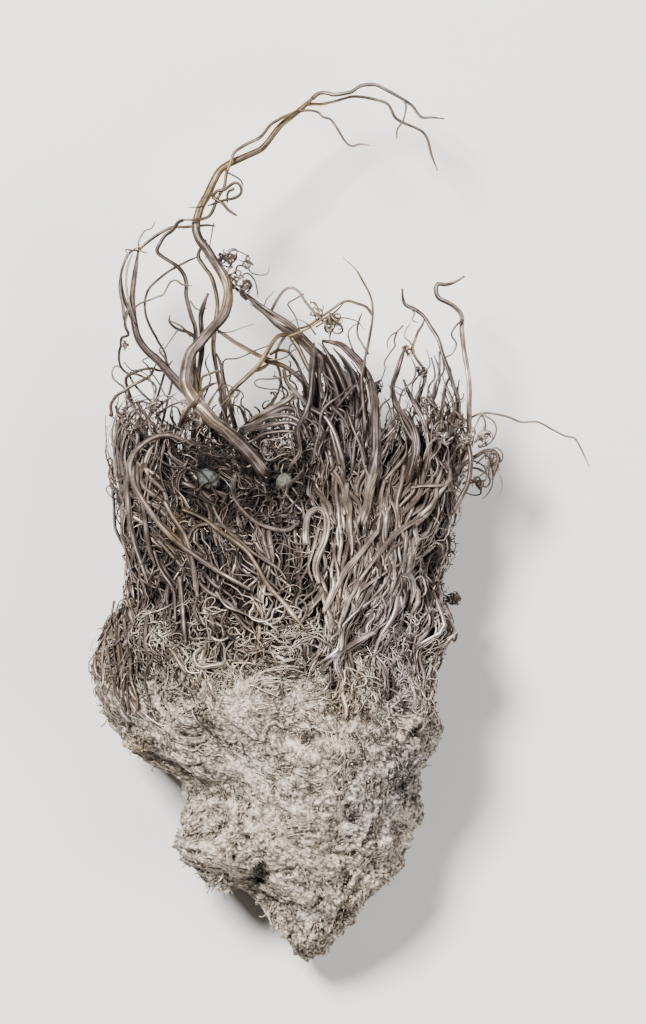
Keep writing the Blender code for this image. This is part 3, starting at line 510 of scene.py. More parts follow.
# Places where the felt is pressed smooth: its crumbs are low and its pores shut
calmSpots = [
    ((-6.5, -5.0), 5.5, 0.8), ((3.0, -9.5), 4.0, 0.5), ((8.5, -5.0), 3.0, 0.4), ((2.0, -19.5), 3.5, 0.3),
]


# Soft round spots, each its strength times e to the minus (distance / reach) squared, added up
def spotsAt(points, table):
    total = np.zeros(points.shape[:-1])
    for (x, y), reach, strength in table:
        away = (points[..., 0] - x) ** 2 + (points[..., 1] - y) ** 2
        total += strength * np.exp(-away / reach**2)
    return total


# A stretch of the felt core: rings of the lump's skin, sunk a little, crumbled by three sizes of
# noise and pitted by a fourth. Under the tangle it sinks further and is painted dark as shade, so the wires
# over it stand out. Each end is closed by a fan of faces.
def coreShape(low, high, rings, around, deeper=0.0):
    along = np.linspace(low, high, rings)[:, None]
    turn = np.linspace(0.0, 2 * math.pi, around, endpoint=False)[None, :]
    along, turn = np.broadcast_arrays(along, turn)
    skin = lumpSurface(along, turn, 0.0 * turn)
    y = skin[..., 1]
    tangle = smoothStep(y + 3.0 * softNoise(skin, 5.0), *lump["tangleStart"])
    calm = 1.0 - spotsAt(skin, calmSpots)
    crumbs = [height * (0.4 + 0.6 * calm) * billow(skin, size) for size, height in lump["crumb"]]
    crumb = sum(crumbs)
    knobs = lump["knobs"][1] * billow(skin, lump["knobs"][0]) * (1.0 - smoothStep(y, -14.0, 0.0))
    knobs = knobs * smoothStep(y, -28.0, -22.0) - 0.3 * (1.0 - smoothStep(y, -27.0, -24.0))
    pores = [calm * smoothStep(softNoise(skin, size) + 0.3 * softNoise(skin, 4.0), rare, rare + 0.4)
             for size, _, rare in lump["pore"]]
    shade = spotsAt(skin, toneAndShadeSpots)
    pit = np.clip(-shade - 0.25, 0.0, 0.3)
    sink = lump["sink"][0] + (lump["sink"][1] - lump["sink"][0]) * tangle + 4.0 * pit
    sink = sink + sum(depth * pore for (_, depth, _), pore in zip(lump["pore"], pores))
    sink = sink + deeper * (1.0 + 5.0 * smoothStep(y, 19.0, 24.0))
    points = lumpSurface(along, turn, crumb + knobs - sink)
    points[..., 1] -= lump["tipStretch"] * smoothStep(-points[..., 1], 22.0, 27.0)
    points = onTable(points)
    # Painted highlight on the raised crumbs, and painted shade under the tangle
    light = 0.60 + 0.2 * crumb + 0.8 * crumbs[-1] - 0.25 * tangle + 0.10 * softNoise(skin, 2.6) + shade
    # Painted shade under the tangle, in the pores and in the pits
    paintedShade = np.clip(1.1 * tangle + 0.7 * pores[0] + 0.6 * pores[1] + 2.0 * pit, 0.0, 1.0)
    tone = np.stack([light, spotsAt(skin, tintSpots) + 0.25 * softNoise(skin, 3.1), paintedShade], axis=-1)
    index = np.arange(rings * around).reshape(rings, around)
    foot, top = [np.full(around, rings * around + end) for end in (0, 1)]
    fans = np.concatenate([np.stack([foot, index[0], np.roll(index[0], -1)], axis=-1),
                           np.stack([top, np.roll(index[-1], -1), index[-1]], axis=-1)])
    return faced(np.vstack([points.reshape(-1, 3), points[0].mean(axis=0), points[-1].mean(axis=0)]),
                 np.vstack([tone.reshape(-1, 3), tone[0, :1], tone[-1, :1]]), flippedFaces(index), fans)


addPiece("feltFootCore", coreShape(0.006, 0.68, 200, 480), feltSilver, ["felted_lump"])
addPiece("tangleCore", coreShape(0.62, 0.995, 60, 200, 0.5), feltSilver)
print("felt core made")

# Free wires: radii at first and last point, kind, and route from the root to the tip. They follow
# the solids, but some start up to 2 mm deeper and three are slightly thicker.
freeWires = {
    "arch_stem_lower": ((0.74, 0.42), bright, [(-0.6, 19.8, 12.5), (-2.3, 21.6, 18), (-3.4, 22.9, 19.4),
        (-4.6, 24.3, 20.1), (-6, 25.6, 20.4), (-7.6, 26.9, 20.4), (-8.7, 28, 20.2), (-9.8, 29.4, 20),
        (-10.3, 30.6, 19.8), (-10.2, 32, 19.5), (-9.7, 33.5, 19.3), (-8.4, 35.2, 18.9), (-7.3, 36.4, 18.5),
        (-6.5, 37.6, 18.1), (-6.1, 39, 17.7), (-6.2, 40.2, 17.4), (-6.7, 41.4, 17.1), (-7.4, 42.5, 16.8),
        (-8.1, 43.7, 16.5), (-8.9, 44.9, 16.2), (-9.3, 46, 16.1), (-9.3, 46.8, 16)]),
    "arch_stem_upper": ((0.42, 0.24), golden, [(-9.3, 46, 16.1), (-9.3, 46.8, 16), (-8.9, 48.2, 15.8),
        (-8.2, 49.5, 15.6), (-7.5, 50.9, 15.4), (-6.9, 51.9, 15.2), (-6.1, 52.5, 15), (-4.1, 53.4, 14.7),
        (-2.9, 54, 14.4), (-2.1, 54.8, 14.2), (-1.4, 55.8, 14), (-0.7, 56.6, 13.8), (0.2, 57.3, 13.6),
        (1.1, 58.1, 13.4), (2, 58.9, 13.2), (2.7, 59.6, 13.1)]),
    "arch_tip_upper": ((0.22, 0.13), bright, [(2.2, 59.1, 13.2), (2.8, 59.6, 13.2), (3.5, 59.7, 13.4),
        (4.4, 59.5, 13.6), (5.4, 59.6, 13.6), (6.2, 59.8, 13.5), (6.9, 60.3, 13.3), (7.7, 60.5, 13.1),
        (8.6, 60.5, 12.9), (9.5, 60.1, 12.7), (11, 59.3, 12.5), (12.2, 58.5, 12.3), (12.7, 57.8, 12.2),
        (13.2, 57.3, 12.1), (14.2, 57.3, 12.1), (15.5, 57.2, 12)]),
    "arch_tip_lower": ((0.17, 0.13), golden, [(1.6, 58.5, 13.2), (2.4, 58.6, 12.8), (3.2, 58.6, 12.5),
        (4.5, 58.9, 12.3), (5.4, 59.2, 12.3), (6.4, 59.4, 12.2), (8.1, 59.2, 12), (9.6, 58.8, 11.8),
        (10.1, 58.2, 11.6), (10.4, 57.5, 11.5), (11, 57, 11.3), (12.4, 56.4, 11.2), (13.3, 55.9, 11.1),
        (13.8, 55.1, 11.1), (14.2, 53.6, 11.2), (14.8, 52, 11.3)]),
    "arch_tip_twig": ((0.12, 0.1), golden, [(11.3, 59.1, 12.6), (11.6, 58.4, 13), (11.4, 57.2, 13.1),
        (11.1, 56.6, 13), (10.7, 56, 12.8), (10.7, 55.1, 12.6)]),
    "arch_side_twig": ((0.13, 0.1), bright, [(0.8, 57.8, 13.6), (1.8, 57.9, 14), (2.8, 57.7, 14.4),
        (3.3, 57.2, 14.6), (4, 57, 14.6), (4.5, 56.4, 14.5), (5.5, 54.8, 14.3), (6.2, 54.3, 14.1),
        (7, 54.5, 13.9), (8, 54.4, 13.7)]),
    "companion_upper": ((0.15, 0.19), golden, [(0.8, 57.9, 13.8), (0.1, 57.5, 14.4), (-0.8, 57.1, 14.8),
        (-1.9, 56.4, 14.9), (-2.5, 55.6, 15), (-3.1, 55, 15.3), (-4.4, 54.4, 15.6), (-5.5, 53.6, 15.9),
        (-5.9, 52.6, 16.2), (-6.3, 51.4, 16.3), (-6.5, 50.2, 16.3), (-7.2, 48.9, 16.6), (-7.8, 47.5, 17),
        (-8.4, 47, 17.1), (-9.5, 46.8, 17.2), (-10.6, 46.8, 17.2)]),
    "companion_lower": ((0.24, 0.19), dull, [(-11.4, 24.6, 13.4), (-10, 28.6, 14.2), (-9.6, 31.6, 14.6),
        (-9.5, 33.6, 14.9), (-9.4, 35.9, 15.2), (-9.8, 37.4, 15.6), (-10.3, 39.3, 15.9), (-10.3, 40.5, 16),
        (-10.6, 41.5, 16.2), (-11.3, 42.3, 16.4), (-12.6, 43.1, 16.6), (-13.2, 43.7, 16.7),
        (-12.9, 44.5, 16.8), (-12.4, 45.3, 16.9), (-11.7, 45.8, 17), (-11.1, 46.6, 17.1),
        (-10.6, 46.8, 17.2)]),
    "cross_wire": ((0.17, 0.13), golden, [(-15.1, 44, 13.9), (-14.5, 44.5, 14), (-13.6, 45.2, 14.4),
        (-12.6, 45.8, 14.8), (-11.6, 46.2, 15), (-10.6, 46.2, 15), (-9.2, 46.3, 14.9), (-8.2, 46.4, 14.9),
        (-7.4, 46.3, 14.9)]),
    "left_riser": ((0.58, 0.22), dull, [(-6.6, 24.6, 9), (-8.6, 27.6, 12.4), (-10.3, 29.7, 13.4),
        (-11.9, 31.5, 13.8), (-13.3, 33, 14), (-14.4, 34, 14), (-15.1, 35, 14), (-15.5, 36.4, 14),
        (-15.7, 38.2, 14), (-15.7, 39.9, 14), (-15.5, 41.5, 14), (-15.3, 42.8, 14), (-15.1, 44.2, 14)]),
    "left_riser_strand": ((0.19, 0.13), dull, [(-16.5, 37, 13.6), (-16.7, 38.6, 13.3), (-17, 40, 13.2),
        (-16.9, 41.4, 13.2), (-16.5, 42.8, 13.4), (-15.9, 44, 13.3)]),
    "hoop_wire": ((0.14, 0.13), dull, [(-13.6, 28.4, 9.6), (-12.4, 32.8, 12.2), (-13.2, 34.9, 13.6),
        (-13.9, 36.2, 14.6), (-14.4, 37.6, 15.2), (-14.4, 39, 15.3), (-14, 40.1, 15.3), (-13.2, 40.9, 15.3),
        (-11.9, 41.9, 15.2), (-10.4, 42.7, 15.2), (-9.7, 43, 15.2), (-9.1, 43.2, 15.2),
        (-8.7, 42.8, 15.2)]),
    "inner_strand": ((0.24, 0.22), golden, [(-6.2, 24.4, 11.4), (-6.6, 28.4, 13.4), (-7.4, 32.4, 14.8),
        (-7.6, 34.6, 15.4), (-7.4, 36.6, 15.7), (-7.2, 38.2, 15.6), (-7.4, 39.8, 15.4), (-7.8, 41.2, 15.3),
        (-8.5, 42.2, 15.2), (-9.1, 43.2, 15.2), (-8.8, 44.2, 15.6), (-8.3, 44.9, 15.9)]),
    "inner_ribbon": ((0.3, 0.3), dull, [(-9.8, 24.4, 8), (-9.4, 29.8, 11.4), (-8.8, 33.6, 13.2),
        (-8.9, 36.2, 14), (-8.9, 37.4, 14.4), (-8.5, 38.6, 14.7), (-8.1, 39.6, 14.8)]),
    "wavy_twig": ((0.12, 0.1), golden, [(-15.9, 37.8, 14.6), (-15, 38.5, 15.6), (-13.9, 38.9, 16.4),
        (-13.2, 39.2, 16.6), (-12.6, 39.4, 16.7), (-12.2, 40.1, 16.8), (-11.8, 40.7, 16.9),
        (-11.2, 40.8, 17), (-10.7, 40.4, 17), (-9.7, 40.3, 17)]),
    "rod_from_stem": ((0.25, 0.2), golden, [(1.8, 28.6, 12.8), (1.4, 30.6, 15), (0.5, 31.6, 15.6),
        (-0.4, 32.2, 15.9), (-1.7, 32.8, 16.2), (-3.2, 33.4, 16.6), (-5.2, 34.5, 17.2), (-6.6, 35.5, 17.5),
        (-7.6, 36.1, 18.2)]),
    "rod_across": ((0.26, 0.22), golden, [(-5, 24.8, 12.6), (-5.8, 27.6, 16), (-6, 29.4, 17),
        (-5.3, 30.3, 17.3), (-4.3, 31.2, 17.5), (-3.2, 32.3, 17.6), (-2.4, 33.4, 17.6), (-1.8, 34.4, 17.4),
        (-1.2, 35.2, 17), (-0.3, 35.4, 16.4), (0.7, 35.2, 15.4)]),
    "slanting_spar": ((0.5, 0.22), dull, [(3.9, 30.4, 12.6), (3.6, 31.8, 13.8), (2.9, 33.2, 14.4),
        (1.9, 34.4, 14.6), (0.8, 35.6, 14.7), (-0.5, 36.8, 14.7), (-1.8, 37.6, 14.7), (-3, 38.4, 14.6),
        (-4.2, 39.3, 14.5), (-5, 40, 14.5)]),
    "sheaf_outer": ((0.58, 0.32), dull, [(7.6, 18.4, 16.8), (8.1, 20.4, 19.6), (8.4, 22.4, 20.8),
        (8.5, 25, 20.6), (8.5, 27.6, 19.8), (8.3, 29.4, 19), (7.8, 31, 18.4), (7.1, 32.3, 18),
        (6.2, 33.4, 17.7), (5.1, 34.3, 17.5), (4.1, 34.7, 17.3), (3.2, 34.8, 17.1)]),
    "sheaf_second": ((0.38, 0.26), dull, [(6.2, 20.8, 17), (6.4, 23, 18.6), (6.4, 26, 18.3),
        (6.2, 28.6, 17.6), (5.8, 30.4, 17), (5, 32.1, 16.6), (4, 33.4, 16.2), (3.3, 33.9, 16.1)]),
    "sheaf_third": ((0.36, 0.26), dull, [(4.9, 20.6, 17.4), (5.2, 23.4, 19), (5.2, 26, 19.2),
        (4.9, 28.6, 18.7), (4.4, 30.6, 18.2), (3.7, 32.2, 17.8), (3, 33.2, 17.6)]),
    "sheaf_fourth": ((0.22, 0.2), dull, [(0.6, 22.2, 14), (1.2, 24.4, 18.4), (1.4, 26.6, 18.8),
        (2, 29.1, 18.8), (2.3, 30.6, 18.6), (2.4, 32, 18.4), (2.4, 33.3, 18.2)]),
    "fork_wire": ((0.22, 0.08), golden, [(7.3, 23.6, 16.8), (7.4, 26.4, 20.2), (7.2, 29, 20),
        (7.1, 31, 19.4), (7.4, 32.8, 19), (7.8, 34.6, 18.4), (8.2, 36.8, 17.6), (8.2, 38.4, 17),
        (7.9, 39.5, 16.8), (7.3, 40.7, 16.6), (6.6, 41.9, 16.4), (5.3, 43.1, 16.2)]),
    "fork_branch": ((0.15, 0.12), golden, [(8.2, 37.4, 16.9), (7.6, 38.2, 16.4), (6.8, 38.5, 16.2),
        (5.9, 38.8, 16), (5.1, 38.6, 15.9), (4.1, 37.9, 15.8), (2.8, 37, 15.6), (1.9, 36.4, 15.6),
        (0.8, 36.1, 15.2), (-0.3, 36.5, 14.9)]),
    "small_arch": ((0.16, 0.12), bright, [(-2, 37.5, 15), (-1.6, 38.3, 15.6), (-1.1, 39.2, 15.9),
        (-0.5, 39.9, 16.1), (0.2, 40.1, 16.3), (0.9, 39.7, 16.4), (1.5, 38.8, 16.5), (2.4, 37.7, 16.6),
        (3.3, 36.8, 16.6), (3.9, 35.8, 16.8), (4, 34.6, 17)]),
    "right_tall_wire": ((0.28, 0.22), bright, [(15.6, 19.6, 11.4), (17.5, 23.6, 12.2), (17.8, 25.2, 12.9),
        (17.9, 27.1, 13.6), (17.9, 28.8, 13.8), (17.9, 30.4, 13.8), (17.7, 32.2, 13.6), (17.4, 34, 13.4),
        (17.2, 36, 13.2), (17.2, 37.4, 13), (16.5, 38.3, 12.8), (15.7, 38.8, 12.6), (14.9, 39.2, 12.5),
        (14.6, 39.9, 12.4), (14.8, 40.6, 12.3), (15.6, 40.6, 12.2), (16.4, 40.8, 12.1), (17.5, 41.4, 12)]),
    "right_leaning_wire": ((0.24, 0.18), dull, [(15.9, 23.6, 13.2), (16.6, 26.4, 15.2), (16.8, 28.6, 16.2),
        (16.3, 30.4, 16.4), (15.8, 31.8, 16.4), (15.2, 33.5, 16.2), (14.8, 34.9, 15.9), (14.1, 36.1, 15.6),
        (13.3, 37.3, 15.3), (12.4, 38, 15.1), (11.6, 38.4, 14.9), (11.3, 39, 14.8), (11.2, 40.1, 14.7)]),
    "right_fork_twig": ((0.18, 0.13), golden, [(12.5, 27.6, 14), (13.1, 29.9, 16.6), (13.5, 31.1, 17),
        (13.3, 32, 17.2), (12.6, 33, 17.3), (12.2, 33.9, 17.3), (12.5, 35, 17), (12.8, 35.8, 16.6),
        (13.2, 36.4, 16.2), (13.4, 37.1, 15.4)]),
    "right_bundle": ((0.46, 0.26), dull, [(11.2, 19.6, 16.6), (11.8, 21.4, 19.4), (12.4, 23.4, 20.2),
        (12.5, 25, 20), (12, 26.4, 19.6), (11.1, 27.5, 19.2), (10.4, 28.6, 18.9), (10.2, 30, 18.6),
        (10.6, 31.5, 18.3), (11, 32.8, 18), (11.5, 34.2, 17.7)]),
    "right_bundle_partner": ((0.34, 0.2), bright, [(13.2, 20.6, 15.8), (13.6, 22.6, 18.6),
        (13.7, 24.8, 18.8), (13.2, 26.8, 18.4), (12.4, 28.4, 18), (11.7, 29.8, 17.7), (11.3, 31, 17.4)]),
    "right_reed": ((0.2, 0.12), dull, [(14.2, 26.8, 12.6), (14.3, 29.6, 14.6), (14.9, 30.8, 15.2),
        (14.8, 32.2, 15), (14.4, 33.4, 14.8)]),
    "right_short_reed": ((0.2, 0.14), dull, [(15.2, 24.6, 13.6), (15.1, 27.4, 15.8), (15.2, 29, 16.5),
        (15.4, 30.4, 16.9)]),
    "far_right_whisker": ((0.13, 0.09), bright, [(14.8, 25.4, 11.8), (18.2, 27.3, 12), (19.4, 27.7, 12.2),
        (20.6, 27.6, 12.3), (21.9, 27.3, 12.3), (23.2, 26.8, 12.2), (24.8, 26.8, 12.1), (26.2, 26.1, 12),
        (27.6, 25.4, 11.9), (28.5, 25.2, 11.8), (29.1, 24.3, 11.7), (30, 22.3, 11.6)]),
    "right_curl": ((0.26, 0.18), dull, [(15.2, 20.6, 13.4), (17.4, 22.6, 14.2), (18.6, 23.4, 14.4),
        (19.5, 23.9, 14.4), (20.3, 23.9, 14.4), (20.8, 23.2, 14.3), (20.6, 22.3, 14.2), (20.2, 21, 14)]),
    "left_rim_twig": ((0.2, 0.12), dull, [(-15.6, 28.2, 11.6), (-16.4, 31, 13), (-15.4, 31.8, 13.6),
        (-14, 32.2, 11.8), (-12.8, 32, 10.8), (-11.8, 33, 10)]),
}

# Wires laid on the front of the lump, as (x, y) with the height taken from the solid
laidWires = {
    "left_sweep": ((0.3, 0.26), bright, [(-12.6, 25), (-13.8, 24.6), (-14.8, 23.9), (-15.5, 22.8),
        (-15.5, 21), (-14.8, 19.4), (-13.6, 17.6), (-12.2, 15.9), (-10.8, 14.6), (-8.9, 13.2), (-7, 12),
        (-5.2, 11), (-3.8, 10.2)]),
    "middle_sweep": ((0.24, 0.22), golden, [(-10.6, 18.1), (-8.4, 17.1), (-6.4, 15.6), (-4.4, 14.2),
        (-3.2, 12.5), (-2, 10.5), (-0.4, 8.7), (1.6, 6.3)]),
    "hairpin_wire": ((0.34, 0.34), bright, [(1.7, 14.6), (1.6, 16.2), (1.8, 17.4), (2.4, 18), (3.1, 18),
        (3.6, 17.3), (3.7, 16), (3.4, 14.8), (2.9, 13.6), (2.6, 12.2), (2.9, 10.8)]),
    "right_sweep": ((0.26, 0.22), bright, [(8.6, 15.9), (7, 13.8), (5.5, 12.2), (4.6, 10.4), (3.7, 8.4)]),
    "right_brace": ((0.26, 0.22), bright, [(13.2, 17.2), (11.4, 16.4), (9.8, 15), (8.2, 12.9), (6.8, 11)]),
    "right_bow": ((0.18, 0.16), bright, [(12, 20.2), (12.9, 20.4), (14.1, 20.4), (15.2, 20.5), (15.9, 21),
        (15.9, 22), (15.4, 23)]),
    "lower_strap": ((0.26, 0.22), bright, [(8.4, 6), (6.8, 5.2), (5.4, 4.4), (4, 3.4)]),
    "shoulder_curl": ((0.24, 0.2), bright, [(-6.4, 3), (-7.4, 2.8), (-8.6, 2.6), (-9.2, 3.2), (-9.2, 4),
        (-8.4, 4.6)]),
    "lobe_wire": ((0.2, 0.16), golden, [(-16.4, 7.4), (-16.2, 5.4), (-15.7, 3.4), (-15.6, 1.4), (-15, -0.6),
        (-15.2, -2.4)]),
}

# The stalks fused to the lump: radii at root and tip, and route
stalks = {
    "left_edge": ((0.9, 0.6), [(-15, 13, 12.6), (-16.6, 17, 12.6), (-17, 21, 12.2), (-17.6, 25, 12),
        (-17.2, 29.2, 11.8)]),
    "left_outer": ((1.7, 0.8), [(-14.6, 20, 11), (-15.4, 25, 11.2), (-15.6, 30.2, 11.4)]),
    "left_inner": ((1.5, 0.9), [(-12.6, 20, 9), (-13.2, 25, 9.4), (-13.7, 29.4, 9.8)]),
    "basket_back": ((1.4, 0.6), [(-11, 20, 8), (-11.5, 25, 8), (-11.7, 29, 8.4)]),
    "basket_floor": ((1.5, 0.8), [(-3.6, 20, 8), (-3.4, 25, 8.2), (-3, 28.6, 8.6)]),
    "middle_left": ((1.7, 0.7), [(1.2, 20, 11.4), (1.8, 26, 12.2), (1.6, 30.8, 12.6)]),
    "middle_centre": ((1.7, 0.8), [(3.8, 20, 11.4), (4.2, 26, 12.2), (3.8, 32.2, 12.4)]),
    "middle_right": ((1.7, 0.7), [(6.4, 20, 11.6), (6.8, 26, 12.6), (6.2, 31.6, 13)]),
    "middle_front": ((1.5, 0.8), [(7.2, 18, 15.2), (7.8, 23, 15.8), (7.9, 28.6, 15.4)]),
    "right_first": ((1.6, 0.6), [(9.4, 20, 12), (9.9, 25, 12.6), (10.2, 29.2, 12.8)]),
    "right_second": ((1.6, 0.7), [(11.6, 20, 13), (12.2, 25, 13.6), (12.4, 30.6, 13.4)]),
    "right_third": ((1.6, 0.7), [(13.4, 20, 11), (14.2, 25, 11.8), (14.2, 29.8, 12)]),
    "right_fourth": ((1.5, 0.6), [(14.8, 19, 12.4), (15.8, 24, 12.8), (15.7, 29.2, 13)]),
    "knob_spur": ((1.7, 1), [(-8.4, -14, 12), (-7.8, -17, 11.4), (-7, -20, 10.6)]),
}

# Finer free wires that have no solid of their own: radii, kind, route
archTwigs = [
    (0.19, 0.13, dull, [(-7.7, 49.1, 16.6), (-7.2, 49.7, 16.9), (-6.5, 49.8, 17.1), (-5.7, 50.4, 17.2),
        (-5.2, 50.5, 17.2), (-4.8, 50, 17.1), (-4.9, 49.4, 17), (-5.5, 49, 16.9), (-6.5, 48.8, 16.8),
        (-7.4, 48.5, 16.9), (-8.2, 48.2, 17)]),
    (0.15, 0.1, dull, [(-5.5, 49.9, 17), (-6, 49.7, 16.9), (-6.2, 49.3, 16.8), (-6.2, 48.5, 16.6)]),
    (0.18, 0.14, bright, [(-7.7, 49.1, 16.7), (-6.7, 48.5, 16.9), (-6.1, 47.8, 17), (-5.2, 47.2, 17)]),
    (0.1, 0.08, dull, [(-6.1, 51.5, 16.4), (-5.5, 51.2, 16.6), (-4.9, 50.8, 16.7), (-4.6, 50.2, 16.6)]),
    (0.16, 0.1, golden, [(-6.3, 51.8, 16.6), (-6.4, 51, 16.9), (-6.5, 50, 17), (-7, 49.3, 16.9)]),
    (0.08, 0.05, dull, [(-8.6, 48.2, 16.2), (-9.4, 48.1, 16.3), (-10.1, 48.1, 16.2)]),
    (0.08, 0.06, dull, [(-7.6, 46.6, 15), (-7.8, 45.4, 15.2), (-8, 44.2, 15.5), (-8.5, 42.8, 15.6)]),
]
